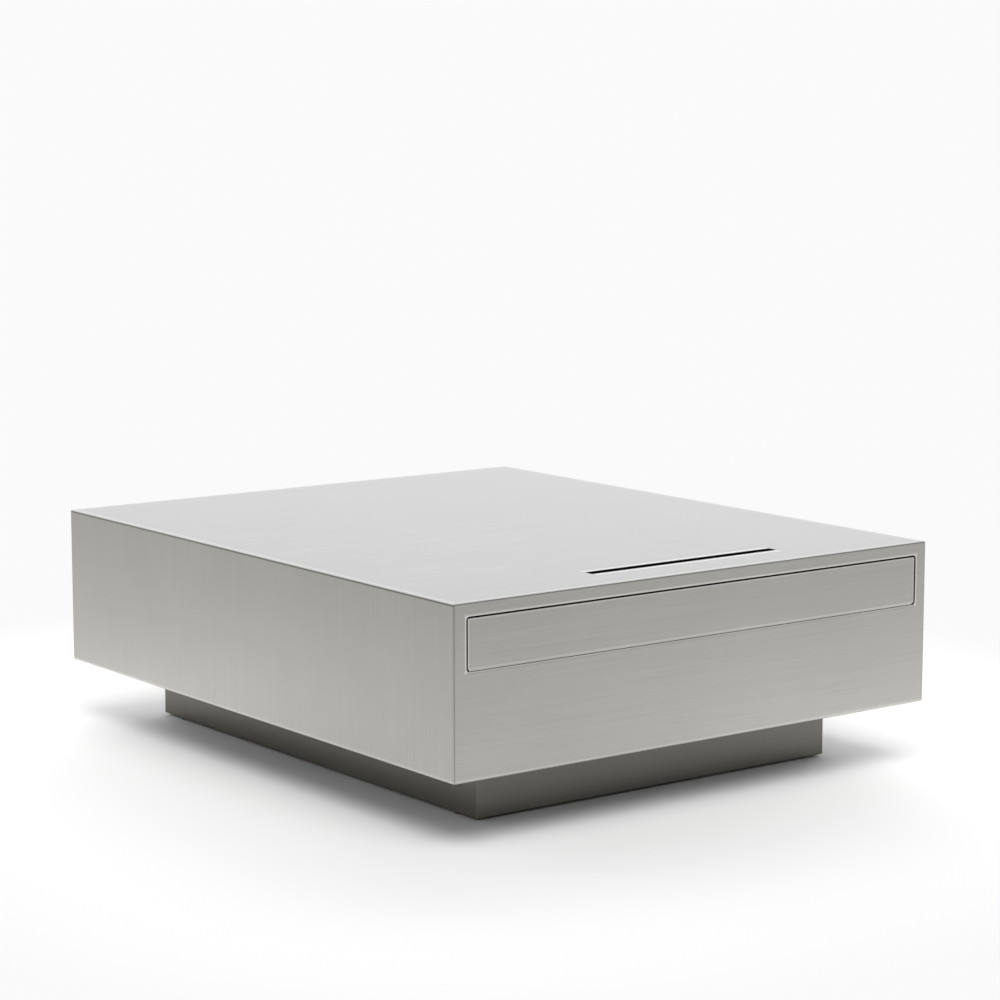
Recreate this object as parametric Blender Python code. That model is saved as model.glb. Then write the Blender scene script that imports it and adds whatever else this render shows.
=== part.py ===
"""A low steel coffee table: a folded steel casing on a set-back plinth, with one wide drawer.

The table stands on the plane z = 0 with its middle over the origin. The drawer faces -Y.
All lengths are in metres. The driving sizes come first, each piece has its own function, and
what fits against another piece takes its size and place from that piece's values.
"""

from math import acos, cos, hypot, pi, radians, sin, tan

import bmesh
import bpy
from mathutils import Matrix, Vector

# Whole table
WIDTH = 1.000
DEPTH = 1.200
HEIGHT = 0.380
BODY_HEIGHT = 0.280

# Clearances and cuts that all pieces share
SEAT_GAP = 0.0003
CUT_OVERRUN = 0.004
BEND_STEPS = 3
CORNER_STEPS = 4
ROUND_STEPS = 16
HEX_STEPS = 12

# Casing: one sheet folded over the top and both sides, with a front, a back and a closing panel
CASING_SHEET = 0.002
CASING_BEND = 0.0005
CASING_FLANGE = 0.025
FLANGE_NOTCH = 0.005
BOTTOM_SHEET = 0.0015
BOTTOM_EDGE_INSET = 0.008

# Slot through the top, over the drawer
SLOT_LENGTH = 0.396
SLOT_WIDTH = 0.019
SLOT_SETBACK = 0.0845
SLOT_SHIFT = 0.034

# Drawer cut-out in the front panel
CUTOUT_SIDE_RIM = 0.024
CUTOUT_TOP_RIM = 0.022
CUTOUT_HEIGHT = 0.086
CUTOUT_RADIUS = 0.006

# Drawer front, a shallow pan with lips turned in behind
DRAWER_GAP = 0.003
FRONT_SHEET = 0.002
FRONT_DEPTH = 0.014
FRONT_LIP = 0.022

# Inner sheet pieces: drawer compartment, rails under the top, ribs over the plinth, brackets
INNER_SHEET = 0.0015
INNER_BEND = 0.0005
FLOOR_FLANGE = 0.022
WALL_FLANGE = 0.022
RAIL_MOUTH = 0.030
RAIL_HEIGHT = 0.020
RAIL_LIP = 0.014
FRONT_RAIL_SHARE = -0.275
MIDDLE_RAIL_SHARE = 0.110
REAR_RAIL_SHARE = 0.300
RIB_FLANGE = 0.030
RIB_END_CLEARANCE = 0.002
BRACKET_LIP = 0.012
BRACKET_MARGIN = 0.0035

# Ball-bearing slides, three members deep, with a ball cage between each two
SLIDE_LENGTH = 0.450
DRAWER_TRAVEL = 0.430
SLIDE_HEIGHT = 0.045
SLIDE_THICKNESS = 0.0127
SLIDE_SHEET = 0.0012
SLIDE_BEND = 0.0004
SLIDE_PLAY = 0.0003
SLIDE_RIM_CLEARANCE = 0.0015
SLIDE_SETBACK = 0.003
SLIDE_LIP = 0.0035
CABINET_TIP_CLEARANCE = 0.0017
MIDDLE_TIP_CLEARANCE = 0.0022
CAGE_TIP_CLEARANCE = 0.0033
CAGE_SHEET = 0.0006
CAGE_BEND = 0.0002
CAGE_END_MARGIN = 0.0175
OUTER_BALL_RADIUS = 0.0014
INNER_BALL_RADIUS = 0.0013
BALLS_PER_ROW = 5
BALL_END_MARGIN = 0.010

# Drawer tray, folded up on both sides, with a cross plate at each end and a mat
TRAY_SHEET = 0.0012
TRAY_BEND = 0.0005
TRAY_HEIGHT = 0.065
TRAY_FLOOR_CLEARANCE = 0.0105
TRAY_LIP = 0.012
CROSS_FLANGE = 0.010
MAT_THICKNESS = 0.002
MAT_EDGE_CLEARANCE = 0.004

# Screws that hold the drawer front to the tray
SCREW_RADIUS = 0.0020
SCREW_HOLE_RADIUS = 0.0024
SCREW_LENGTH = 0.007
SCREW_HEAD_RADIUS = 0.0035
SCREW_HEAD_HEIGHT = 0.0022
SCREW_HEAD_CHAMFER = 0.0007
SCREW_SOCKET_RADIUS = 0.0014
SCREW_SOCKET_DEPTH = 0.0013
SCREW_EDGE_DISTANCE = 0.008
SCREW_SPREAD_SHARE = 0.40

# Push-to-open latches and rubber stops behind the drawer
PUSH_IN = 0.0025
PLUNGER_TRAVEL = 0.003
LATCH_SPACE = 0.033
LATCH_SPREAD_SHARE = 0.30
LATCH_PLAY = 0.0003
LATCH_FLANGE_RADIUS = 0.012
LATCH_FLANGE = 0.0027
LATCH_TUBE_RADIUS = 0.007
LATCH_TUBE_LENGTH = 0.042
LATCH_BORE_RADIUS = 0.0058
LATCH_END_WALL = 0.0025
LATCH_NECK = 0.005
PLUNGER_RADIUS = 0.0041
PLUNGER_COLLAR_RADIUS = 0.0054
PLUNGER_COLLAR = 0.003
PLUNGER_STUB_RADIUS = 0.0028
PLUNGER_STUB = 0.010
PLUNGER_TIP_CHAMFER = 0.001
SPRING_WIRE_RADIUS = 0.0005
SPRING_MEAN_RADIUS = 0.0045
SPRING_TURNS = 6
SPRING_TURN_STEPS = 9
STRIKE_SIZE = 0.028
STRIKE_THICKNESS = 0.0015
STOP_SPREAD_SHARE = 0.42
STOP_RADIUS = 0.008
STOP_TIP_RADIUS = 0.0055

# Plinth: four folded panels, mitred where they meet, with an angle inside each corner
PLINTH_SIDE_INSET = 0.127
PLINTH_END_INSET = 0.1135
PLINTH_SHEET = 0.002
PLINTH_BEND = 0.0005
PLINTH_TOP_FLANGE = 0.030
PLINTH_FOOT_FLANGE = 0.025
PLINTH_CORNER_LEG = 0.045

# Floor glides under the plinth
GLIDE_HEIGHT = 0.003
GLIDE_RADIUS = 0.010
GLIDE_CHAMFER = 0.0006
GLIDE_STEM_RADIUS = 0.0028
GLIDE_HOLE_RADIUS = 0.0032
GLIDE_BARB_RADIUS = 0.0040
GLIDE_BARB = 0.003
GLIDE_BARB_TIP_RADIUS = 0.0022
GLIDE_CORNER_DISTANCE = 0.060

# Bolts that hold the plinth up against the ribs, and the nuts welded to the ribs
BOLT_RADIUS = 0.0040
BOLT_HOLE_RADIUS = 0.0044
BOLT_HEAD_RADIUS = 0.0075
BOLT_HEAD_HEIGHT = 0.0053
BOLT_TAIL = 0.003
NUT_RADIUS = 0.0075
NUT_HEIGHT = 0.0065
BOLT_PLACE_SHARE = 0.25

# Looks: linear colour, roughness, metallic
LOOKS = {
    "brushed_steel": ((0.56, 0.56, 0.54), 0.34, 1.0),
    "plinth_steel": ((0.25, 0.25, 0.24), 0.40, 1.0),
    "inner_steel": ((0.42, 0.43, 0.44), 0.48, 1.0),
    "slide_steel": ((0.52, 0.53, 0.55), 0.28, 1.0),
    "cage_steel": ((0.33, 0.33, 0.35), 0.40, 1.0),
    "screw_steel": ((0.40, 0.40, 0.41), 0.30, 1.0),
    "drawer_felt": ((0.045, 0.045, 0.048), 0.95, 0.0),
    "black_plastic": ((0.020, 0.020, 0.022), 0.50, 0.0),
    "black_rubber": ((0.025, 0.025, 0.025), 0.80, 0.0),
}

# Places of the casing and its drawer cut-out
HALF_WIDTH = WIDTH / 2
FRONT = -DEPTH / 2
BACK = DEPTH / 2
BODY_BOTTOM = HEIGHT - BODY_HEIGHT
UNDER_TOP = HEIGHT - CASING_SHEET - SEAT_GAP
INSIDE_HALF = HALF_WIDTH - CASING_SHEET - SEAT_GAP
CUTOUT_HALF = HALF_WIDTH - CUTOUT_SIDE_RIM
CUTOUT_TOP = HEIGHT - CUTOUT_TOP_RIM
CUTOUT_BOTTOM = CUTOUT_TOP - CUTOUT_HEIGHT

# Places of the drawer front, the slides and the compartment
FRONT_HALF = CUTOUT_HALF - DRAWER_GAP
FRONT_TOP = CUTOUT_TOP - DRAWER_GAP
FRONT_LOW = CUTOUT_BOTTOM + DRAWER_GAP
FRONT_REAR = FRONT + FRONT_DEPTH
SLIDE_OUTER = CUTOUT_HALF - SLIDE_RIM_CLEARANCE
SLIDE_INNER = SLIDE_OUTER - SLIDE_THICKNESS
SLIDE_FRONT = FRONT_REAR + SLIDE_SETBACK
SLIDE_REAR = SLIDE_FRONT + SLIDE_LENGTH
WALL_FRONT = SLIDE_REAR + LATCH_SPACE
FLOOR_REAR = WALL_FRONT + WALL_FLANGE

# Places of the tray
TRAY_HALF = SLIDE_INNER - SEAT_GAP
TRAY_LOW = CUTOUT_BOTTOM + TRAY_FLOOR_CLEARANCE
TRAY_TOP = TRAY_LOW + TRAY_HEIGHT
SLIDE_LEVEL = TRAY_LOW + TRAY_HEIGHT / 2
CROSS_HALF = TRAY_HALF - TRAY_SHEET - SEAT_GAP
CROSS_LOW = TRAY_LOW + TRAY_SHEET + SEAT_GAP
CROSS_TOP = TRAY_TOP - TRAY_SHEET - SEAT_GAP
CROSS_FRONT = FRONT_REAR + SEAT_GAP

# Layers of a slide, measured from the table's middle plane and from the slide's own middle
OUTER_CAGE_WEB = SLIDE_OUTER - SLIDE_SHEET - SLIDE_PLAY
MIDDLE_WEB = OUTER_CAGE_WEB - CAGE_SHEET - SLIDE_PLAY
INNER_CAGE_WEB = MIDDLE_WEB - SLIDE_SHEET - SLIDE_PLAY
MEMBER_TIP = INNER_CAGE_WEB - CAGE_SHEET - SLIDE_PLAY
CABINET_TIP = SLIDE_INNER + CABINET_TIP_CLEARANCE
MIDDLE_TIP = SLIDE_INNER + MIDDLE_TIP_CLEARANCE
CAGE_TIP = SLIDE_INNER + CAGE_TIP_CLEARANCE
BALL_PLACE = (MIDDLE_TIP + MEMBER_TIP) / 2
CABINET_HALF = SLIDE_HEIGHT / 2
OUTER_BALL_LEVEL = CABINET_HALF - SLIDE_SHEET - SLIDE_PLAY - OUTER_BALL_RADIUS
MIDDLE_HALF = OUTER_BALL_LEVEL - OUTER_BALL_RADIUS - SLIDE_PLAY
INNER_BALL_LEVEL = MIDDLE_HALF - SLIDE_SHEET - SLIDE_PLAY - INNER_BALL_RADIUS
MEMBER_HALF = INNER_BALL_LEVEL - INNER_BALL_RADIUS - SLIDE_PLAY
CAGE_FRONT = SLIDE_FRONT + DRAWER_TRAVEL / 4 + CAGE_END_MARGIN
CAGE_REAR = SLIDE_REAR - DRAWER_TRAVEL / 4 - CAGE_END_MARGIN

# Places of the underside, the plinth and what holds it
BOTTOM_PANEL_TOP = BODY_BOTTOM - SEAT_GAP
BOTTOM_PANEL_LOW = BOTTOM_PANEL_TOP - BOTTOM_SHEET
PLINTH_TOP = BOTTOM_PANEL_LOW - SEAT_GAP
PLINTH_HALF = HALF_WIDTH - PLINTH_SIDE_INSET
PLINTH_REACH = DEPTH / 2 - PLINTH_END_INSET
BOLT_X = PLINTH_HALF - PLINTH_TOP_FLANGE / 2
BOLT_Y = DEPTH * BOLT_PLACE_SHARE
BOLT_SEAT = PLINTH_TOP - PLINTH_SHEET - SEAT_GAP
GLIDE_X = PLINTH_HALF - PLINTH_FOOT_FLANGE / 2
GLIDE_Y = PLINTH_REACH - GLIDE_CORNER_DISTANCE

SIDES = {"left": -1, "right": 1}
ENDS = {"front": -1, "back": 1}
LEVELS = {"lower": CROSS_LOW + SCREW_EDGE_DISTANCE, "upper": CROSS_TOP - SCREW_EDGE_DISTANCE}
TOWARDS_DRAWER = (radians(90), 0, 0)

# Where the outline point (u, v) lies at distance w along each axis
ALONG = {
    "X": lambda u, v, w: Vector((w, u, v)),
    "Y": lambda u, v, w: Vector((u, w, v)),
    "Z": lambda u, v, w: Vector((u, v, w)),
}


# Scene, materials and pieces


def clear_scene():
    """Remove every object that is in the scene."""
    for thing in list(bpy.data.objects):
        bpy.data.objects.remove(thing, do_unlink=True)


def finish(name, look):
    """Make the material of one piece."""
    colour, roughness, metallic = LOOKS[look]
    material = bpy.data.materials.new(name + "_finish")
    material.use_nodes = True
    shader = material.node_tree.nodes["Principled BSDF"]
    shader.inputs["Base Color"].default_value = (*colour, 1.0)
    shader.inputs["Roughness"].default_value = roughness
    shader.inputs["Metallic"].default_value = metallic
    return material


def link(thing, parent=None):
    """Put an object in the scene, under its parent's place but with its own coordinates."""
    bpy.context.scene.collection.objects.link(thing)
    if parent:
        thing.parent = parent
        thing.matrix_parent_inverse = Matrix.Translation(-parent.location)
    return thing


def add_piece(name, bm, look, parent=None, location=(0, 0, 0), rotation=(0, 0, 0), rounded=False):
    """Turn a bmesh into a named piece with its own material."""
    mesh = bpy.data.meshes.new(name)
    bm.to_mesh(mesh)
    bm.free()
    if rounded:
        mesh.shade_smooth()
        mesh.set_sharp_from_angle(angle=radians(35))
    mesh.materials.append(finish(name, look))
    piece = bpy.data.objects.new(name, mesh)
    piece.location = location
    piece.rotation_euler = rotation
    return link(piece, parent)


def add_motion(name, location):
    """Add the empty on a sliding body's line of travel, which carries that body's pieces."""
    empty = bpy.data.objects.new(name, None)
    empty.location = location
    return link(empty)


def shape_with(piece, name, bm, operation="DIFFERENCE"):
    """Cut a shape out of a piece, or join one to it, with a Boolean."""
    mesh = bpy.data.meshes.new(name)
    bm.to_mesh(mesh)
    bm.free()
    tool = bpy.data.objects.new(name, mesh)
    tool.hide_render = True
    tool.display_type = "WIRE"
    link(tool, piece.parent)
    modifier = piece.modifiers.new(name, "BOOLEAN")
    modifier.operation = operation
    modifier.solver = "EXACT"
    modifier.object = tool


# Outlines


def heading(start, end):
    """Direction from one outline point to another."""
    reach = hypot(end[0] - start[0], end[1] - start[1])
    return ((end[0] - start[0]) / reach, (end[1] - start[1]) / reach)


def beside(point, way, distance):
    """Point at a distance to the left of a point on a path."""
    return (point[0] - way[1] * distance, point[1] + way[0] * distance)


def bend_points(before, corner, after, sheet, bend):
    """Points of one round bend on the path and on the sheet's other face."""
    way_in = heading(before, corner)
    way_out = heading(corner, after)
    turn = 1 if way_in[0] * way_out[1] > way_in[1] * way_out[0] else -1
    angle = acos(way_in[0] * way_out[0] + way_in[1] * way_out[1])
    near_radius = bend + sheet if turn > 0 else bend
    far_radius = bend if turn > 0 else bend + sheet
    reach = near_radius * tan(angle / 2)
    start = (corner[0] - way_in[0] * reach, corner[1] - way_in[1] * reach)
    centre = beside(start, way_in, turn * near_radius)
    near = []
    far = []
    for step in range(BEND_STEPS + 1):
        swing = turn * angle * step / BEND_STEPS
        way = (way_in[0] * cos(swing) - way_in[1] * sin(swing),
               way_in[0] * sin(swing) + way_in[1] * cos(swing))
        near.append(beside(centre, way, -turn * near_radius))
        far.append(beside(centre, way, -turn * far_radius))
    return near, far


def folded_outline(path, sheet, bend):
    """Outline of a folded sheet that lies to the left of a path; bend is the inside radius."""
    near = [path[0]]
    far = [beside(path[0], heading(path[0], path[1]), sheet)]
    for before, corner, after in zip(path, path[1:], path[2:]):
        bend_near, bend_far = bend_points(before, corner, after, sheet, bend)
        near += bend_near
        far += bend_far
    near.append(path[-1])
    far.append(beside(path[-1], heading(path[-2], path[-1]), sheet))
    return near + far[::-1]


def rectangle(low, high, radius=0):
    """Outline of a rectangle between two corners, with rounded corners if a radius is given."""
    if not radius:
        return [low, (high[0], low[1]), high, (low[0], high[1])]
    centres = [(high[0] - radius, low[1] + radius), (high[0] - radius, high[1] - radius),
               (low[0] + radius, high[1] - radius), (low[0] + radius, low[1] + radius)]
    outline = []
    for quarter, centre in enumerate(centres, start=-1):
        for step in range(CORNER_STEPS + 1):
            angle = (quarter + step / CORNER_STEPS) * pi / 2
            outline.append((centre[0] + radius * cos(angle), centre[1] + radius * sin(angle)))
    return outline


def circle(centre, radius, steps=ROUND_STEPS):
    """Outline of a circle."""
    angles = [2 * pi * step / steps for step in range(steps)]
    return [(centre[0] + radius * cos(angle), centre[1] + radius * sin(angle)) for angle in angles]


def mirrored(path, side):
    """The path itself on the right, and its mirror image on the left."""
    return [(side * u, v) for u, v in path]


# Solids


def extruded(outlines, axis, start, end, drawn_in=None):
    """Solid pushed out from one or more outlines between two places along an axis.

    drawn_in gives how much shorter each end is at an outline point, for a mitred end.
    """
    bm = bmesh.new()
    place = ALONG[axis]
    number = "XYZ".index(axis)
    for outline in outlines:
        face = bm.faces.new([bm.verts.new(place(u, v, start)) for u, v in outline])
        grown = bmesh.ops.extrude_face_region(bm, geom=[face])["geom"]
        moved = [item for item in grown if isinstance(item, bmesh.types.BMVert)]
        bmesh.ops.translate(bm, vec=place(0, 0, end - start), verts=moved)
    if drawn_in:
        middle = (start + end) / 2
        for vert in bm.verts:
            inset = drawn_in(vert.co)
            vert.co[number] += inset if vert.co[number] < middle else -inset
    bmesh.ops.recalc_face_normals(bm, faces=bm.faces)
    return bm


def turned(rings, steps=ROUND_STEPS):
    """Solid turned about its own Z axis through rings of radius and height, round or hexagonal."""
    bm = bmesh.new()
    loops = []
    for radius, height, *shape in rings:
        loop = []
        for step in range(steps):
            angle = 2 * pi * step / steps
            reach = radius * cos(pi / 6) if shape and step % 2 else radius
            loop.append(bm.verts.new((reach * cos(angle), reach * sin(angle), height)))
        loops.append(loop)
    for lower, upper in zip(loops, loops[1:]):
        for step in range(steps):
            following = (step + 1) % steps
            bm.faces.new((lower[step], lower[following], upper[following], upper[step]))
    bm.faces.new(loops[0])
    bm.faces.new(loops[-1])
    bmesh.ops.recalc_face_normals(bm, faces=bm.faces)
    return bm


# Casing


def build_casing_wrap():
    """Sheet folded over the top and both sides, with a slot through the top."""
    tip = HALF_WIDTH - CASING_FLANGE
    path = [(tip, BODY_BOTTOM), (HALF_WIDTH, BODY_BOTTOM), (HALF_WIDTH, HEIGHT),
            (-HALF_WIDTH, HEIGHT), (-HALF_WIDTH, BODY_BOTTOM), (-tip, BODY_BOTTOM)]
    outline = folded_outline(path, CASING_SHEET, CASING_BEND)
    wrap = add_piece("casing_wrap", extruded([outline], "Y", FRONT, BACK), "brushed_steel")
    slot_near = FRONT + SLOT_SETBACK
    slot = rectangle((SLOT_SHIFT - SLOT_LENGTH / 2, slot_near),
                     (SLOT_SHIFT + SLOT_LENGTH / 2, slot_near + SLOT_WIDTH))
    shape_with(wrap, "cutter_slot", extruded([slot], "Z", UNDER_TOP - CUT_OVERRUN, HEIGHT + CUT_OVERRUN))
    notch_inside = tip - CUT_OVERRUN
    notch_outside = HALF_WIDTH - CASING_SHEET
    notch_reach = CASING_FLANGE + FLANGE_NOTCH
    notches = []
    for side in SIDES.values():
        for end in ENDS.values():
            low = (side * notch_inside, end * (BACK - notch_reach))
            high = (side * notch_outside, end * (BACK + CUT_OVERRUN))
            notches.append(rectangle(low, high))
    notch_top = BODY_BOTTOM + CASING_SHEET + CASING_BEND
    shape_with(wrap, "cutter_flange_ends", extruded(notches, "Z", BODY_BOTTOM - CUT_OVERRUN, notch_top))


def build_end_panel(name, end):
    """Front or back panel between the sides, folded in along its lower edge."""
    path = [(FRONT, UNDER_TOP), (FRONT, BODY_BOTTOM), (FRONT + CASING_FLANGE, BODY_BOTTOM)]
    outline = mirrored(folded_outline(path, CASING_SHEET, CASING_BEND), -end)
    return add_piece(name, extruded([outline], "X", -INSIDE_HALF, INSIDE_HALF), "brushed_steel")


def build_front_panel():
    """Front panel with the drawer's cut-out."""
    panel = build_end_panel("front_panel", ENDS["front"])
    hole = rectangle((-CUTOUT_HALF, CUTOUT_BOTTOM), (CUTOUT_HALF, CUTOUT_TOP), CUTOUT_RADIUS)
    behind = FRONT + CASING_SHEET + CUT_OVERRUN
    shape_with(panel, "cutter_drawer_cutout", extruded([hole], "Y", FRONT - CUT_OVERRUN, behind))


def bolt_circles():
    """Outlines of the four bolt holes."""
    return [circle((side * BOLT_X, end * BOLT_Y), BOLT_HOLE_RADIUS)
            for side in SIDES.values() for end in ENDS.values()]


def build_bottom_panel():
    """Flat panel that closes the casing from below."""
    half = HALF_WIDTH - BOTTOM_EDGE_INSET
    reach = DEPTH / 2 - BOTTOM_EDGE_INSET
    plate = extruded([rectangle((-half, -reach), (half, reach))], "Z", BOTTOM_PANEL_LOW, BOTTOM_PANEL_TOP)
    panel = add_piece("bottom_panel", plate, "inner_steel")
    holes = extruded(bolt_circles(), "Z", BOTTOM_PANEL_LOW - CUT_OVERRUN, BOTTOM_PANEL_TOP + CUT_OVERRUN)
    shape_with(panel, "cutter_panel_bolt_holes", holes)


# Drawer compartment, rails and ribs


def build_compartment_floor():
    """Shelf under the drawer, level with the lower edge of the cut-out."""
    front = FRONT + CASING_SHEET + SEAT_GAP
    low = CUTOUT_BOTTOM - FLOOR_FLANGE
    path = [(FLOOR_REAR, low), (FLOOR_REAR, CUTOUT_BOTTOM), (front, CUTOUT_BOTTOM), (front, low)]
    outline = folded_outline(path, INNER_SHEET, INNER_BEND)
    add_piece("compartment_floor", extruded([outline], "X", -INSIDE_HALF, INSIDE_HALF), "inner_steel")


def build_compartment_wall():
    """Wall behind the drawer, which carries the latches and the stops."""
    low = CUTOUT_BOTTOM + SEAT_GAP
    path = [(FLOOR_REAR, UNDER_TOP), (WALL_FRONT, UNDER_TOP), (WALL_FRONT, low), (FLOOR_REAR, low)]
    outline = folded_outline(path, INNER_SHEET, INNER_BEND)
    wall = add_piece("compartment_wall", extruded([outline], "X", -INSIDE_HALF, INSIDE_HALF), "inner_steel")
    radius = LATCH_TUBE_RADIUS + LATCH_PLAY
    holes = [circle((side * WIDTH * LATCH_SPREAD_SHARE, SLIDE_LEVEL), radius) for side in SIDES.values()]
    behind = WALL_FRONT + INNER_SHEET + CUT_OVERRUN
    shape_with(wall, "cutter_latch_holes", extruded(holes, "Y", WALL_FRONT - CUT_OVERRUN, behind))


def build_top_rail(name, place_share):
    """Hat-section rail that stiffens the top from below."""
    middle = DEPTH * place_share
    half = RAIL_MOUTH / 2
    web = UNDER_TOP - RAIL_HEIGHT + INNER_SHEET
    path = [(middle + half + RAIL_LIP, UNDER_TOP), (middle + half, UNDER_TOP), (middle + half, web),
            (middle - half, web), (middle - half, UNDER_TOP), (middle - half - RAIL_LIP, UNDER_TOP)]
    outline = folded_outline(path, INNER_SHEET, INNER_BEND)
    add_piece(name, extruded([outline], "X", -INSIDE_HALF, INSIDE_HALF), "inner_steel")


def build_rib(name, side, end):
    """C-section rib over the plinth's side, with a nut welded to its lower flange."""
    ribs = {
        "front": (FRONT + CASING_FLANGE + RIB_END_CLEARANCE, FLOOR_REAR - INNER_SHEET - SEAT_GAP,
                  CUTOUT_BOTTOM - INNER_SHEET - SEAT_GAP),
        "back": (FLOOR_REAR + SEAT_GAP, BACK - CASING_FLANGE - RIB_END_CLEARANCE,
                 UNDER_TOP - RAIL_HEIGHT - SEAT_GAP),
    }
    start, stop, top = ribs[end]
    tip = PLINTH_HALF - RIB_FLANGE
    path = [(tip, BODY_BOTTOM), (PLINTH_HALF, BODY_BOTTOM), (PLINTH_HALF, top), (tip, top)]
    outline = mirrored(folded_outline(path, INNER_SHEET, INNER_BEND), side)
    rib = add_piece(name, extruded([outline], "Y", start, stop), "inner_steel")
    centre = (side * BOLT_X, ENDS[end] * BOLT_Y)
    flange_top = BODY_BOTTOM + INNER_SHEET
    nut = turned([(NUT_RADIUS, BODY_BOTTOM + INNER_SHEET / 2, "hexagon"),
                  (NUT_RADIUS, flange_top + NUT_HEIGHT, "hexagon")], HEX_STEPS)
    bmesh.ops.translate(nut, vec=(*centre, 0), verts=nut.verts)
    shape_with(rib, "joined_nut_" + name, nut, "UNION")
    hole = extruded([circle(centre, BOLT_HOLE_RADIUS)], "Z", BODY_BOTTOM - CUT_OVERRUN,
                    flange_top + NUT_HEIGHT + CUT_OVERRUN)
    shape_with(rib, "cutter_hole_" + name, hole)


def build_runner_bracket(name, side):
    """Hat-section bracket between the casing's side and a slide."""
    half = CABINET_HALF + BRACKET_MARGIN
    web = SLIDE_OUTER + SEAT_GAP + INNER_SHEET
    path = [(INSIDE_HALF, SLIDE_LEVEL - half - BRACKET_LIP), (INSIDE_HALF, SLIDE_LEVEL - half),
            (web, SLIDE_LEVEL - half), (web, SLIDE_LEVEL + half),
            (INSIDE_HALF, SLIDE_LEVEL + half), (INSIDE_HALF, SLIDE_LEVEL + half + BRACKET_LIP)]
    outline = mirrored(folded_outline(path, INNER_SHEET, INNER_BEND), side)
    add_piece(name, extruded([outline], "Y", SLIDE_FRONT, WALL_FRONT - SEAT_GAP), "inner_steel")


# Slides


def channel_path(web, tip, half, lip=0):
    """Path of a channel that is open towards the table's middle, about the slides' level."""
    path = [(tip, SLIDE_LEVEL - half), (web, SLIDE_LEVEL - half),
            (web, SLIDE_LEVEL + half), (tip, SLIDE_LEVEL + half)]
    if lip:
        path.insert(0, (tip, SLIDE_LEVEL - half + lip))
        path.append((tip, SLIDE_LEVEL + half - lip))
    return path


def add_slide_member(name, side, path, parent=None):
    """One folded member over the slide's whole length."""
    outline = mirrored(folded_outline(path, SLIDE_SHEET, SLIDE_BEND), side)
    add_piece(name, extruded([outline], "Y", SLIDE_FRONT, SLIDE_REAR), "slide_steel", parent)


def add_ball_cage(name, side, web, level, radius, parent):
    """Folded strip with a row of balls in its upper and its lower plate."""
    path = channel_path(web, CAGE_TIP, level + CAGE_SHEET / 2)
    outline = mirrored(folded_outline(path, CAGE_SHEET, CAGE_BEND), side)
    strip = extruded([outline], "Y", CAGE_FRONT, CAGE_REAR)
    cage = add_piece(name, strip, "cage_steel", parent, rounded=True)
    balls = bmesh.new()
    first = CAGE_FRONT + BALL_END_MARGIN
    last = CAGE_REAR - BALL_END_MARGIN
    for row in (-1, 1):
        for number in range(BALLS_PER_ROW):
            along = first + (last - first) * number / (BALLS_PER_ROW - 1)
            place = Matrix.Translation((side * BALL_PLACE, along, SLIDE_LEVEL + row * level))
            bmesh.ops.create_icosphere(balls, subdivisions=1, radius=radius, matrix=place)
    shape_with(cage, "joined_balls_" + name, balls, "UNION")


def build_slide(name, side, drawer):
    """One slide: cabinet, middle and drawer member, and the two ball cages between them."""
    start = (side * SLIDE_OUTER, SLIDE_FRONT, SLIDE_LEVEL)
    outer_cage_motion = add_motion("motion_outer_ball_cage_" + name, start)
    middle_motion = add_motion("motion_middle_member_" + name, start)
    inner_cage_motion = add_motion("motion_inner_ball_cage_" + name, start)
    add_slide_member("cabinet_member_" + name, side,
                     channel_path(SLIDE_OUTER, CABINET_TIP, CABINET_HALF, SLIDE_LIP))
    add_ball_cage("outer_ball_cage_" + name, side, OUTER_CAGE_WEB, OUTER_BALL_LEVEL, OUTER_BALL_RADIUS,
                  outer_cage_motion)
    add_slide_member("middle_member_" + name, side,
                     channel_path(MIDDLE_WEB, MIDDLE_TIP, MIDDLE_HALF), middle_motion)
    add_ball_cage("inner_ball_cage_" + name, side, INNER_CAGE_WEB, INNER_BALL_LEVEL, INNER_BALL_RADIUS,
                  inner_cage_motion)
    add_slide_member("drawer_member_" + name, side,
                     channel_path(SLIDE_INNER, MEMBER_TIP, MEMBER_HALF)[::-1], drawer)


# Drawer


def build_drawer_front(drawer):
    """Shallow pan that fills the cut-out, with its edges turned in behind."""
    face = rectangle((-FRONT_HALF, FRONT_LOW), (FRONT_HALF, FRONT_TOP), CUTOUT_RADIUS - DRAWER_GAP)
    front = add_piece("drawer_front", extruded([face], "Y", FRONT, FRONT_REAR), "brushed_steel", drawer)
    inset = FRONT_SHEET
    hollow = rectangle((-FRONT_HALF + inset, FRONT_LOW + inset), (FRONT_HALF - inset, FRONT_TOP - inset))
    shape_with(front, "cutter_front_hollow",
               extruded([hollow], "Y", FRONT + FRONT_SHEET, FRONT_REAR - FRONT_SHEET))
    inset = FRONT_LIP
    mouth = rectangle((-FRONT_HALF + inset, FRONT_LOW + inset), (FRONT_HALF - inset, FRONT_TOP - inset))
    shape_with(front, "cutter_front_mouth",
               extruded([mouth], "Y", FRONT + FRONT_SHEET * 2, FRONT_REAR + CUT_OVERRUN))
    shape_with(front, "cutter_front_screw_holes", screw_holes(FRONT + FRONT_SHEET * 2))


def screw_places():
    """Name, x and z of each screw behind the drawer front."""
    return [(level + "_" + name, side * WIDTH * SCREW_SPREAD_SHARE, height)
            for level, height in LEVELS.items() for name, side in SIDES.items()]


def screw_holes(start):
    """Cutter for the four screw holes, from a place inside the drawer front to behind the tray's plate."""
    circles = [circle((x, z), SCREW_HOLE_RADIUS) for _, x, z in screw_places()]
    return extruded(circles, "Y", start, CROSS_FRONT + TRAY_SHEET + CUT_OVERRUN)


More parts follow.
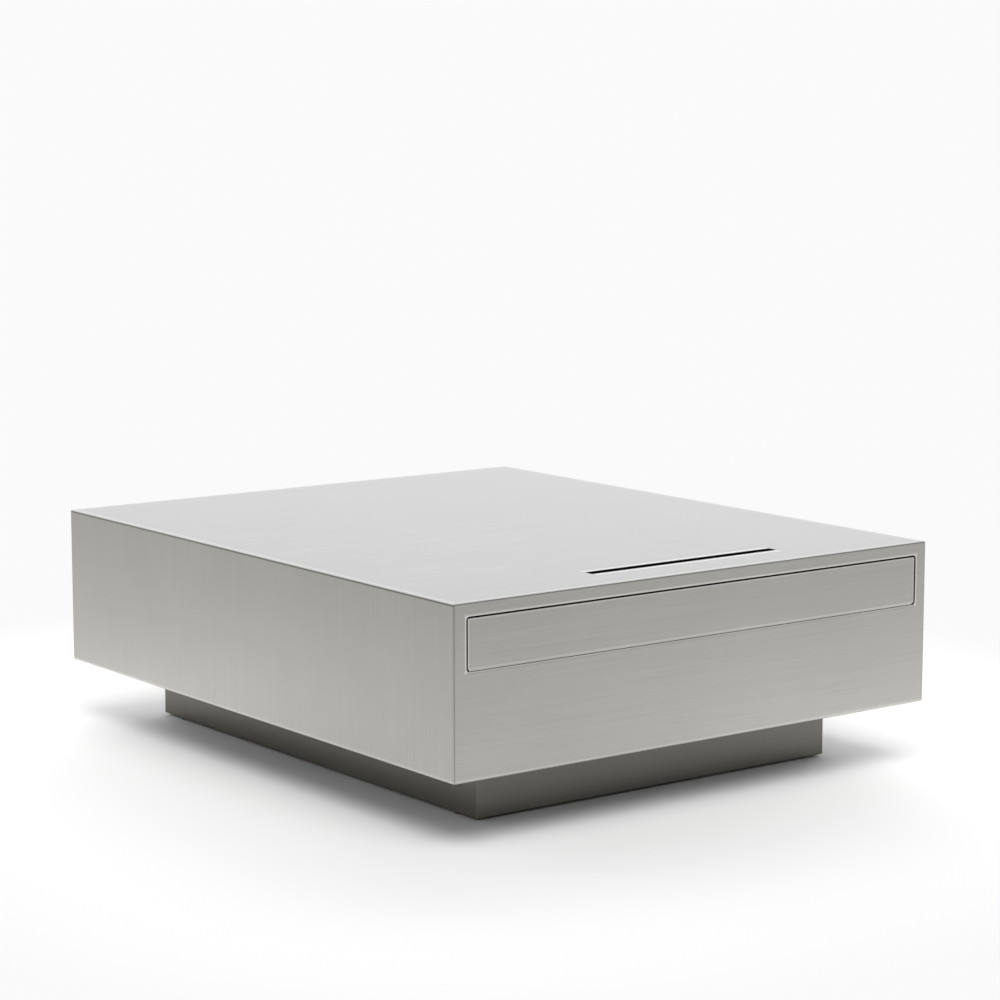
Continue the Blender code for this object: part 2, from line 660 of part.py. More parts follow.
def build_tray(drawer):
    """Tray folded up on both sides, with its upper edges turned in."""
    tip = TRAY_HALF - TRAY_LIP
    path = [(tip, TRAY_TOP), (TRAY_HALF, TRAY_TOP), (TRAY_HALF, TRAY_LOW),
            (-TRAY_HALF, TRAY_LOW), (-TRAY_HALF, TRAY_TOP), (-tip, TRAY_TOP)]
    outline = folded_outline(path[::-1], TRAY_SHEET, TRAY_BEND)
    add_piece("drawer_tray", extruded([outline], "Y", CROSS_FRONT, SLIDE_REAR), "inner_steel", drawer)


def build_cross_plate(name, start, way, drawer):
    """Plate across one end of the tray, with both edges folded towards the tray's inside."""
    path = [(start + way * CROSS_FLANGE, CROSS_TOP), (start, CROSS_TOP),
            (start, CROSS_LOW), (start + way * CROSS_FLANGE, CROSS_LOW)]
    outline = folded_outline(path[::way], TRAY_SHEET, TRAY_BEND)
    return add_piece(name, extruded([outline], "X", -CROSS_HALF, CROSS_HALF), "inner_steel", drawer)


def build_drawer_mat(drawer):
    """Felt mat on the tray's floor."""
    half = CROSS_HALF - MAT_EDGE_CLEARANCE
    front = CROSS_FRONT + CROSS_FLANGE + MAT_EDGE_CLEARANCE
    rear = SLIDE_REAR - CROSS_FLANGE - MAT_EDGE_CLEARANCE
    mat = extruded([rectangle((-half, front), (half, rear))], "Z", CROSS_LOW, CROSS_LOW + MAT_THICKNESS)
    add_piece("drawer_mat", mat, "drawer_felt", drawer)


def build_drawer_screw(name, x, z, drawer):
    """Socket screw from inside the tray into the drawer front."""
    head = -SCREW_HEAD_HEIGHT
    rings = [(SCREW_SOCKET_RADIUS, head + SCREW_SOCKET_DEPTH, "hexagon"),
             (SCREW_SOCKET_RADIUS, head, "hexagon"),
             (SCREW_HEAD_RADIUS - SCREW_HEAD_CHAMFER, head),
             (SCREW_HEAD_RADIUS, head + SCREW_HEAD_CHAMFER),
             (SCREW_HEAD_RADIUS, 0),
             (SCREW_RADIUS, 0),
             (SCREW_RADIUS, SCREW_LENGTH)]
    seat = CROSS_FRONT + TRAY_SHEET + SEAT_GAP
    add_piece("drawer_front_screw_" + name, turned(rings, HEX_STEPS), "screw_steel", drawer,
              (x, seat, z), TOWARDS_DRAWER, rounded=True)


def build_drawer():
    """Everything that slides out with the drawer, apart from the slides' own members."""
    drawer = add_motion("motion_drawer", (0, FRONT, SLIDE_LEVEL))
    build_drawer_front(drawer)
    build_tray(drawer)
    inner_front = build_cross_plate("drawer_inner_front", CROSS_FRONT, 1, drawer)
    shape_with(inner_front, "cutter_inner_front_screw_holes", screw_holes(FRONT_REAR - CUT_OVERRUN))
    build_cross_plate("drawer_back", SLIDE_REAR, -1, drawer)
    build_drawer_mat(drawer)
    for name, x, z in screw_places():
        build_drawer_screw(name, x, z, drawer)
    return drawer


# Latches and stops


def build_latch_housing(name, place):
    """Flanged tube through the compartment wall, closed at its rear end."""
    face = SEAT_GAP + LATCH_FLANGE
    rear = -LATCH_TUBE_LENGTH
    neck = PLUNGER_RADIUS + LATCH_PLAY
    rings = [(LATCH_BORE_RADIUS, rear + LATCH_END_WALL),
             (LATCH_BORE_RADIUS, face - LATCH_NECK),
             (neck, face - LATCH_NECK),
             (neck, face),
             (LATCH_FLANGE_RADIUS, face),
             (LATCH_FLANGE_RADIUS, SEAT_GAP),
             (LATCH_TUBE_RADIUS, SEAT_GAP),
             (LATCH_TUBE_RADIUS, rear)]
    add_piece("latch_housing_" + name, turned(rings), "black_plastic", None, place, TOWARDS_DRAWER, True)


def build_latch_plunger(name, place, collar_front, collar_rear):
    """Plunger that the drawer presses in; its collar stays behind the housing's neck."""
    tip = LATCH_SPACE - SEAT_GAP - STRIKE_THICKNESS - PUSH_IN - SEAT_GAP
    rings = [(PLUNGER_STUB_RADIUS, collar_rear - PLUNGER_STUB),
             (PLUNGER_STUB_RADIUS, collar_rear),
             (PLUNGER_COLLAR_RADIUS, collar_rear),
             (PLUNGER_COLLAR_RADIUS, collar_front),
             (PLUNGER_RADIUS, collar_front),
             (PLUNGER_RADIUS, tip - PLUNGER_TIP_CHAMFER),
             (PLUNGER_RADIUS - PLUNGER_TIP_CHAMFER, tip)]
    motion = add_motion("motion_latch_plunger_" + name, place)
    add_piece("latch_plunger_" + name, turned(rings), "black_plastic", motion, place, TOWARDS_DRAWER, True)


def build_latch_spring(name, place, collar_rear):
    """Coil spring on the housing's end wall, as long as it is with the plunger pressed in."""
    low = -LATCH_TUBE_LENGTH + LATCH_END_WALL + SEAT_GAP + SPRING_WIRE_RADIUS
    high = collar_rear - PLUNGER_TRAVEL - SEAT_GAP - SPRING_WIRE_RADIUS
    curve = bpy.data.curves.new("latch_spring_" + name, "CURVE")
    curve.dimensions = "3D"
    curve.bevel_depth = SPRING_WIRE_RADIUS
    curve.bevel_resolution = 1
    curve.use_fill_caps = True
    steps = SPRING_TURNS * SPRING_TURN_STEPS
    wire = curve.splines.new("POLY")
    wire.points.add(steps)
    for step, point in enumerate(wire.points):
        angle = 2 * pi * step / SPRING_TURN_STEPS
        height = low + (high - low) * step / steps
        point.co = (SPRING_MEAN_RADIUS * cos(angle), SPRING_MEAN_RADIUS * sin(angle), height, 1)
    curve.materials.append(finish("latch_spring_" + name, "slide_steel"))
    spring = bpy.data.objects.new("latch_spring_" + name, curve)
    spring.location = place
    spring.rotation_euler = TOWARDS_DRAWER
    link(spring)


def build_strike(name, x, drawer):
    """Steel plate on the tray's back, where the plunger meets it."""
    half = STRIKE_SIZE / 2
    plate = rectangle((x - half, SLIDE_LEVEL - half), (x + half, SLIDE_LEVEL + half))
    start = SLIDE_REAR + SEAT_GAP
    add_piece("strike_plate_" + name, extruded([plate], "Y", start, start + STRIKE_THICKNESS),
              "screw_steel", drawer)


def build_latch(name, side, drawer):
    """One push-to-open latch with its plunger, spring and strike plate."""
    x = side * WIDTH * LATCH_SPREAD_SHARE
    place = (x, WALL_FRONT, SLIDE_LEVEL)
    collar_front = SEAT_GAP + LATCH_FLANGE - LATCH_NECK - LATCH_PLAY
    collar_rear = collar_front - PLUNGER_COLLAR
    build_latch_housing(name, place)
    build_latch_plunger(name, place, collar_front, collar_rear)
    build_latch_spring(name, place, collar_rear)
    build_strike(name, x, drawer)


def build_drawer_stop(name, side):
    """Rubber stop that ends the drawer's push."""
    rings = [(STOP_RADIUS, SEAT_GAP), (STOP_TIP_RADIUS, LATCH_SPACE - PUSH_IN - SEAT_GAP)]
    place = (side * WIDTH * STOP_SPREAD_SHARE, WALL_FRONT, SLIDE_LEVEL)
    add_piece("drawer_stop_" + name, turned(rings), "black_rubber", None, place, TOWARDS_DRAWER, True)


# Plinth


def build_plinth_end(name, end):
    """Plinth panel across the front or the back, mitred at both ends."""
    face = -PLINTH_REACH
    path = [(face + PLINTH_TOP_FLANGE, PLINTH_TOP), (face, PLINTH_TOP),
            (face, GLIDE_HEIGHT), (face + PLINTH_FOOT_FLANGE, GLIDE_HEIGHT)]
    outline = mirrored(folded_outline(path, PLINTH_SHEET, PLINTH_BEND), -end)
    panel = extruded([outline], "X", -PLINTH_HALF, PLINTH_HALF,
                     lambda place: PLINTH_REACH - abs(place.y) + SEAT_GAP / 2)
    add_piece(name, panel, "plinth_steel")


def build_plinth_side(name, side):
    """Plinth panel along one side, mitred at both ends, with its glide and bolt holes."""
    path = [(PLINTH_HALF - PLINTH_FOOT_FLANGE, GLIDE_HEIGHT), (PLINTH_HALF, GLIDE_HEIGHT),
            (PLINTH_HALF, PLINTH_TOP), (PLINTH_HALF - PLINTH_TOP_FLANGE, PLINTH_TOP)]
    outline = mirrored(folded_outline(path, PLINTH_SHEET, PLINTH_BEND), side)
    panel = add_piece(name, extruded([outline], "Y", -PLINTH_REACH, PLINTH_REACH,
                                     lambda place: PLINTH_HALF - abs(place.x) + SEAT_GAP / 2),
                      "plinth_steel")
    bolts = extruded(bolt_circles(), "Z", BOLT_SEAT - CUT_OVERRUN, PLINTH_TOP + CUT_OVERRUN)
    shape_with(panel, "cutter_bolt_holes_" + name, bolts)
    holes = [circle((side * GLIDE_X, end * GLIDE_Y), GLIDE_HOLE_RADIUS) for end in ENDS.values()]
    glides = extruded(holes, "Z", 0, GLIDE_HEIGHT + PLINTH_SHEET + CUT_OVERRUN)
    shape_with(panel, "cutter_glide_holes_" + name, glides)


def build_plinth_corner(name, side, end):
    """Angle welded inside one corner of the plinth."""
    corner_x = PLINTH_HALF - PLINTH_SHEET - SEAT_GAP
    corner_y = PLINTH_REACH - PLINTH_SHEET - SEAT_GAP
    path = [(corner_x, corner_y - PLINTH_CORNER_LEG), (corner_x, corner_y),
            (corner_x - PLINTH_CORNER_LEG, corner_y)]
    outline = [(side * u, end * v) for u, v in folded_outline(path, PLINTH_SHEET, PLINTH_BEND)]
    inset = PLINTH_SHEET + PLINTH_BEND
    add_piece(name, extruded([outline], "Z", GLIDE_HEIGHT + inset, PLINTH_TOP - inset), "plinth_steel")


def build_glide(name, side, end):
    """Round glide under the plinth, with a barbed stem through its flange."""
    barb = GLIDE_HEIGHT + PLINTH_SHEET + SEAT_GAP
    rings = [(GLIDE_RADIUS - GLIDE_CHAMFER, 0),
             (GLIDE_RADIUS, GLIDE_CHAMFER),
             (GLIDE_RADIUS, GLIDE_HEIGHT - SEAT_GAP),
             (GLIDE_STEM_RADIUS, GLIDE_HEIGHT - SEAT_GAP),
             (GLIDE_STEM_RADIUS, barb),
             (GLIDE_BARB_RADIUS, barb),
             (GLIDE_BARB_TIP_RADIUS, barb + GLIDE_BARB)]
    place = (side * GLIDE_X, end * GLIDE_Y, 0)
    add_piece(name, turned(rings), "black_plastic", None, place, rounded=True)


def build_plinth_bolt(name, side, end):
    """Hexagon bolt up through the plinth, the closing panel and the rib into its nut."""
    top = BODY_BOTTOM + INNER_SHEET + NUT_HEIGHT + BOLT_TAIL
    rings = [(BOLT_HEAD_RADIUS, -BOLT_HEAD_HEIGHT, "hexagon"),
             (BOLT_HEAD_RADIUS, 0, "hexagon"),
             (BOLT_RADIUS, 0),
             (BOLT_RADIUS, top - BOLT_SEAT)]
    place = (side * BOLT_X, end * BOLT_Y, BOLT_SEAT)
    add_piece(name, turned(rings, HEX_STEPS), "screw_steel", None, place, rounded=True)


def main():
    """Build the whole table."""
    clear_scene()
    build_casing_wrap()
    build_front_panel()
    build_end_panel("back_panel", ENDS["back"])
    build_bottom_panel()
    build_compartment_floor()
    build_compartment_wall()
    build_top_rail("top_rail_front", FRONT_RAIL_SHARE)
    build_top_rail("top_rail_middle", MIDDLE_RAIL_SHARE)
    build_top_rail("top_rail_rear", REAR_RAIL_SHARE)
    drawer = build_drawer()
    for end in ENDS:
        build_plinth_end("plinth_" + end, ENDS[end])
    for name, side in SIDES.items():
        build_runner_bracket("runner_bracket_" + name, side)
        build_slide(name, side, drawer)
        build_latch(name, side, drawer)
        build_drawer_stop(name, side)
        build_plinth_side("plinth_" + name, side)
        for end in ENDS:
            corner = end + "_" + name
            build_rib("rib_" + corner, side, end)
            build_plinth_corner("plinth_corner_" + corner, side, ENDS[end])
            build_glide("glide_" + corner, side, ENDS[end])
            build_plinth_bolt("plinth_bolt_" + corner, side, ENDS[end])


main()
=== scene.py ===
"""Looks of the steel coffee table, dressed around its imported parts.

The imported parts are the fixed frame. Each sub-assembly of the table is a class that holds its sizes,
models the pieces that need more than the plain solids show, and gives every part its finish. All
lengths are in metres, +Z is up, and the drawer faces -Y.
"""

import logging
from collections.abc import Callable, Sequence
from dataclasses import dataclass, field
from enum import Enum
from functools import cache, reduce
from math import radians

import bmesh
import bpy
from bpy.types import Material, Node, NodeSocket, NodeTree, Object
from mathutils import Matrix, Vector


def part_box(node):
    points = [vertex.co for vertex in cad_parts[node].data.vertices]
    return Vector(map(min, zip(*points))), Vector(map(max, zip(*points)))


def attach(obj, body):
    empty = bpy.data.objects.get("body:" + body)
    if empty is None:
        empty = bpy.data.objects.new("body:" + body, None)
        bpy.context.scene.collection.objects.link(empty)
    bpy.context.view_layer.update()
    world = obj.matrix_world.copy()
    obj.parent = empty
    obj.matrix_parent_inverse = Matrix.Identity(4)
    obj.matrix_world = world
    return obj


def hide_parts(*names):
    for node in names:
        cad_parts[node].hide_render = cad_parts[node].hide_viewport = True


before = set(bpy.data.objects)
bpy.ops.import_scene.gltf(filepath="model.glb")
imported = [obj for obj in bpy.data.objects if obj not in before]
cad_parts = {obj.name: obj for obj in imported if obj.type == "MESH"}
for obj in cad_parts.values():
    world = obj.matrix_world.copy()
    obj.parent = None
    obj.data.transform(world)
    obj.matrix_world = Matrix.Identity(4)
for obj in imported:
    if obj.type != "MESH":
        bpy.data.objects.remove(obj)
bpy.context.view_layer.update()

logging.basicConfig(level=logging.INFO, format="%(name)s: %(message)s")
log = logging.getLogger("coffee_table")

Point = Sequence[float]
Colour = tuple[float, float, float]
Value = float | Point | NodeSocket
Test = Callable[[Vector, Vector], bool]

SIDES = {"left": -1, "right": 1}
ENDS = {"front": -1, "back": 1}
CORNERS = [f"{end}_{side}" for end in ENDS for side in SIDES]

TOUCHING = 1e-6  # points nearer than this are one
WELDED = 5e-6  # the same after a cut, which leaves slivers
ON_PLANE = 1e-5  # points nearer than this to a plane lie on it
FACING = 0.99  # cosine from which a face counts as facing a way
LEVEL_ANGLE = 0.5  # faces that differ by fewer degrees are one
CUT_ANGLE = 50  # edges sharper than this many degrees are cut edges
SMOOTH_ANGLE = 35  # edges sharper than this many degrees stay sharp to the eye
ROUND_PROFILE = 0.5  # profile of a bevel that is part of a circle
ROUND_SIDES = 32  # flats that stand for a round
FAR = 9  # past every piece, where a line's box shows no line


# Workbench: the hand tools that every piece is made with


class Part(Enum):
    """What a test picks out of a mesh in edit mode."""

    FACE = "FACE"
    EDGE = "EDGE"


class Work(Enum):
    """What one shape does to another."""

    CUT = "DIFFERENCE"
    TRIM = "INTERSECT"


def deselect() -> None:
    """Leave edit mode and select nothing."""
    if bpy.context.object and bpy.context.object.mode != "OBJECT":
        bpy.ops.object.mode_set(mode="OBJECT")
    bpy.ops.object.select_all(action="DESELECT")


def take(piece: Object) -> None:
    """Make one piece the only selected and the active one.

    Args:
        piece: The piece.
    """
    deselect()
    piece.select_set(True)
    bpy.context.view_layer.objects.active = piece


def settle(piece: Object, name: str) -> Object:
    """Name a new primitive and move its place, turn and scale into its mesh.

    Args:
        piece: The primitive.
        name: Its name as a piece of the table.

    Returns:
        The piece, with its object at the origin.
    """
    piece.name = piece.data.name = name
    take(piece)
    bpy.ops.object.transform_apply(location=True, rotation=True, scale=True)
    return piece


def block(name: str, low: Point, high: Point) -> Object:
    """Add a block between two corners.

    Args:
        name: Name of the piece.
        low: Its lowest corner.
        high: Its highest corner.

    Returns:
        The block.
    """
    deselect()
    low, high = Vector(low), Vector(high)
    bpy.ops.mesh.primitive_cube_add(size=1, location=(low + high) / 2)
    piece = bpy.context.object
    piece.scale = high - low
    return settle(piece, name)


def pick(piece: Object, part: Part, test: Test) -> None:
    """Open a piece in edit mode with some of its faces or edges selected.

    Args:
        piece: The piece.
        part: Whether faces or edges are tested.
        test: Takes a face's middle and normal, or an edge's two ends, and says if it is wanted.
    """
    take(piece)
    bpy.ops.object.mode_set(mode="EDIT")
    bpy.ops.mesh.select_mode(type=part.value)
    bpy.ops.mesh.select_all(action="DESELECT")
    mesh = bmesh.from_edit_mesh(piece.data)
    if part is Part.FACE:
        chosen = [face for face in mesh.faces if test(face.calc_center_median(), face.normal)]
    else:
        chosen = [edge for edge in mesh.edges if test(edge.verts[0].co, edge.verts[1].co)]
    for item in chosen:
        item.select_set(True)
    bmesh.update_edit_mesh(piece.data)


def pick_all(piece: Object) -> None:
    """Open a piece in edit mode with all of it selected."""
    pick(piece, Part.FACE, lambda middle, normal: True)


def done() -> None:
    """Leave edit mode."""
    bpy.ops.object.mode_set(mode="OBJECT")


def on_side(place: Point, way: Point) -> Test:
    """Make the test for the edges of the outermost side of a piece.

    Args:
        place: A place on that side.
        way: The way that it faces.

    Returns:
        The test, which takes an edge's two ends.
    """
    place, way = Vector(place), Vector(way)
    return lambda start, end: min((start - place).dot(way), (end - place).dot(way)) > -TOUCHING


def use_modifier(piece: Object, kind: str, **settings: object) -> None:
    """Put a modifier on a piece and apply it at once.

    Args:
        piece: The piece.
        kind: The modifier's type.
        **settings: Its settings by name.
    """
    take(piece)
    modifier = piece.modifiers.new(kind.lower(), kind)
    for name, value in settings.items():
        setattr(modifier, name, value)
    bpy.ops.object.modifier_apply(modifier=modifier.name)


def combine(piece: Object, tool: Object, work: Work) -> None:
    """Cut or trim a piece with another shape, which is used up, and clean the cut.

    Args:
        piece: The piece that stays.
        tool: The shape that works on it.
        work: What the shape does to the piece.
    """
    use_modifier(piece, "BOOLEAN", object=tool, operation=work.value, solver="EXACT")
    pick_all(piece)
    bpy.ops.mesh.remove_doubles(threshold=WELDED)
    bpy.ops.mesh.dissolve_degenerate(threshold=WELDED)
    done()
    bpy.data.objects.remove(tool)


def smooth(piece: Object) -> None:
    """Shade a piece smooth over its bends and roundings, while its flat faces stay flat.

    Args:
        piece: The piece.
    """
    take(piece)
    bpy.ops.object.shade_smooth_by_angle(angle=radians(SMOOTH_ANGLE))
    use_modifier(piece, "WEIGHTED_NORMAL", mode="FACE_AREA", weight=50, keep_sharp=True)


def twin(piece: Object, name: str, shift: Point = (0, 0, 0)) -> Object:
    """Copy a piece, with a mesh of its own.

    Args:
        piece: What is copied.
        name: Name of the copy.
        shift: How far the copy is moved.

    Returns:
        The copy.
    """
    copy = bpy.data.objects.new(name, piece.data.copy())
    copy.data.name = name
    copy.data.transform(Matrix.Translation(Vector(shift)))
    bpy.context.scene.collection.objects.link(copy)
    return copy


def from_solid(name: str, node: str) -> Object:
    """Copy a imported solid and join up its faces.

    Args:
        name: Name of the copy.
        node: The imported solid.

    Returns:
        The copy.
    """
    copy = twin(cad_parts[node], name)
    pick_all(copy)
    bpy.ops.mesh.remove_doubles(threshold=TOUCHING)
    bpy.ops.mesh.dissolve_limited(angle_limit=radians(LEVEL_ANGLE))
    done()
    return copy


def folded_box(name: str, low: Point, high: Point, sheet: float, lips: dict[str, float]) -> Object:
    """Fold a box from sheet, open where its edges turn in as lips.

    Args:
        name: Name of the piece.
        low: Lowest corner of the box.
        high: Highest corner of the box.
        sheet: Thickness of the sheet.
        lips: Width of the lip on each open side, which is named +X, -X, +Y and so on.

    Returns:
        The box.
    """
    piece = block(name, low, high)
    for side, width in lips.items():
        way = Vector([(axis == side[1]) * (1 if side[0] == "+" else -1) for axis in "XYZ"])
        pick(piece, Part.FACE, lambda middle, normal: normal.dot(way) > FACING)
        bpy.ops.mesh.inset(thickness=width)
        bpy.ops.mesh.delete(type="FACE")
        done()
    use_modifier(piece, "SOLIDIFY", thickness=sheet, offset=-1, use_even_offset=True)
    return piece


def round_edges(piece: Object, test: Test, radius: float, segments: int) -> None:
    """Round some edges of a piece.

    Args:
        piece: The piece.
        test: Takes an edge's two ends, and says if it is rounded.
        radius: Radius of the rounding.
        segments: How many strips stand for the round.
    """
    pick(piece, Part.EDGE, test)
    bpy.ops.mesh.bevel(offset=radius, offset_type="OFFSET", segments=segments, profile=ROUND_PROFILE,
                       affect="EDGES")
    done()


def round_box_edges(piece: Object, low: Point, high: Point, radius: float, along: str = "XYZ",
                    segments: int = 4) -> None:
    """Round the edges of a piece that lie on the edges of a box.

    Args:
        piece: The piece.
        low: Lowest corner of the box.
        high: Highest corner of the box.
        radius: Radius of the rounding.
        along: Axes that the rounded edges run along.
        segments: How many strips stand for the round.
    """
    def on_box_edge(start: Vector, end: Vector) -> bool:
        """Tell the edges on two sides of the box that run along a wanted axis.

        Args:
            start: The edge's first end.
            end: Its other end.

        Returns:
            Whether the edge is one of them.
        """
        shared = [abs(start[n] - side[n]) < ON_PLANE and abs(end[n] - side[n]) < ON_PLANE
                  for side in (low, high) for n in range(3)]
        way = max(range(3), key=lambda n: abs(start[n] - end[n]))
        return sum(shared) >= 2 and "XYZ"[way] in along

    round_edges(piece, on_box_edge, radius, segments)


def break_edges(piece: Object, width: float) -> None:
    """Take the sharpness off the cut edges of a piece."""
    use_modifier(piece, "BEVEL", width=width, segments=2, limit_method="ANGLE",
                 angle_limit=radians(CUT_ANGLE))


def slice_off(piece: Object, place: Point, way: Point) -> None:
    """Cut off what lies beyond a plane, and close the cut.

    Args:
        piece: The piece.
        place: A place on the plane.
        way: Direction in which everything is cut off.
    """
    pick_all(piece)
    bpy.ops.mesh.bisect(plane_co=place, plane_no=Vector(way).normalized(), use_fill=True, clear_outer=True)
    done()


def mount_piece(piece: Object, body: str, slot: str, material: Material, *nodes: str) -> None:
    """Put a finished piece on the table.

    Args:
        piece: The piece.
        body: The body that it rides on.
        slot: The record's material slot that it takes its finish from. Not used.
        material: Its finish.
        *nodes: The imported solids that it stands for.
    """
    piece.data.materials.clear()
    piece.data.materials.append(material)
    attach(piece, body)
    if nodes:
        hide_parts(*nodes)
    log.info("%s on %s%s", piece.name, body, f", for {', '.join(nodes)}" if nodes else "")


def dress(material: Material, *nodes: str) -> None:
    """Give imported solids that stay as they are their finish.

    Args:
        material: The finish.
        *nodes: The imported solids.
    """
    for node in nodes:
        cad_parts[node].material_slots[0].material = material
        log.info("%s keeps its solid, in %s", node, material.name)


# Node trees


class Wiring:
    """Places the nodes of one tree and joins them."""

    def __init__(self, tree: NodeTree) -> None:
        """Work on one tree."""
        self.tree = tree

    def feed(self, node: Node, inputs: dict[str | int, Value]) -> None:
        """Set some inputs of a node.

        Args:
            node: The node.
            inputs: Value of each input, or the socket that feeds it.
        """
        for name, value in inputs.items():
            if isinstance(value, NodeSocket):
                self.tree.links.new(value, node.inputs[name])
            else:
                node.inputs[name].default_value = value

    def node(self, kind: str, inputs: dict[str | int, Value] | None = None, **settings: object) -> Node:
        """Add a node.

        Args:
            kind: Type of the node, without its ShaderNode prefix.
            inputs: Value of each input, or the socket that feeds it.
            **settings: The node's own settings.

        Returns:
            The node.
        """
        made = self.tree.nodes.new("ShaderNode" + kind)
        for name, value in settings.items():
            setattr(made, name, value)
        self.feed(made, inputs or {})
        return made

    def math(self, operation: str, *values: Value) -> NodeSocket:
        """Result of a Math node."""
        return self.node("Math", dict(enumerate(values)), operation=operation).outputs[0]

    def chain(self, operation: str, *values: Value) -> NodeSocket:
        """Work through several numbers with one operation, such as to their product or their maximum."""
        return reduce(lambda result, value: self.math(operation, result, value), values)

    def vector(self, operation: str, *values: Value) -> NodeSocket:
        """Result of a Vector Math node, which is a number for DOT_PRODUCT and LENGTH."""
        made = self.node("VectorMath", dict(enumerate(values)), operation=operation)
        return made.outputs["Value" if operation in ("DOT_PRODUCT", "LENGTH") else "Vector"]

    def scaled(self, vector: Value, factor: Value) -> NodeSocket:
        """A vector or a colour times a number."""
        return self.node("VectorMath", {0: vector, "Scale": factor}, operation="SCALE").outputs[0]

    def split(self, vector: NodeSocket) -> Sequence[NodeSocket]:
        """The three numbers of a vector."""
        return self.node("SeparateXYZ", {0: vector}).outputs

    def clamp(self, value: NodeSocket) -> NodeSocket:
        """A number held between 0 and 1."""
        return self.node("Clamp", {0: value}).outputs[0]

    def near(self, distance: NodeSocket, width: Value, power: float) -> NodeSocket:
        """1 where a distance is nothing, falling to 0 where it reaches a width, by some power."""
        share = self.math("SUBTRACT", 1.0, self.math("DIVIDE", distance, width))
        return self.math("POWER", self.clamp(share), power)

    def rise(self, value: NodeSocket, start: float, end: float) -> NodeSocket:
        """A soft rise from 0 to 1 while a number goes from start to end."""
        inputs = {"Value": value, "From Min": start, "From Max": end}
        return self.node("MapRange", inputs, interpolation_type="SMOOTHSTEP").outputs[0]

    def noise(self, place: NodeSocket, scale: Value, detail: float, rough: float) -> NodeSocket:
        """A Noise texture, from 0 to 1, with so many ripples in each metre."""
        inputs = {"Vector": place, "Scale": scale, "Detail": detail, "Roughness": rough}
        return self.node("TexNoise", inputs).outputs[0]

    def tone(self, value: NodeSocket, contrast: Value) -> NodeSocket:
        """A pattern from 0 to 1 turned into a factor that swings about 1."""
        return self.math("MULTIPLY_ADD", self.math("SUBTRACT", value, 0.5), contrast, 1.0)

    def tinted(self, colour: Colour | NodeSocket, *tones: NodeSocket) -> NodeSocket:
        """A colour times several factors."""
        return self.scaled(colour, self.chain("MULTIPLY", *tones))


class Group(Wiring):
    """A new shader node group, seen from inside. Its first input is the place on the piece."""

    def __init__(self, name: str, outputs: Sequence[str], **inputs: str) -> None:
        """Open the group.

        Args:
            name: Its name.
            outputs: Its outputs, which are numbers.
            **inputs: Its other inputs, each with the kind of its socket.
        """
        super().__init__(bpy.data.node_groups.new(name, "ShaderNodeTree"))
        for label, kind in {"Place": "Vector", **inputs}.items():
            self.tree.interface.new_socket(label, in_out="INPUT", socket_type="NodeSocket" + kind)
        for label in outputs:
            self.tree.interface.new_socket(label, in_out="OUTPUT", socket_type="NodeSocketFloat")
        self.entry = self.tree.nodes.new("NodeGroupInput")
        self.leave = self.tree.nodes.new("NodeGroupOutput")

    def __getitem__(self, name: str) -> NodeSocket:
        """The input of that name."""
        return self.entry.outputs[name]

    def close(self, **results: NodeSocket) -> NodeTree:
        """The finished group, once its outputs have their results."""
        self.feed(self.leave, results)
        return self.tree


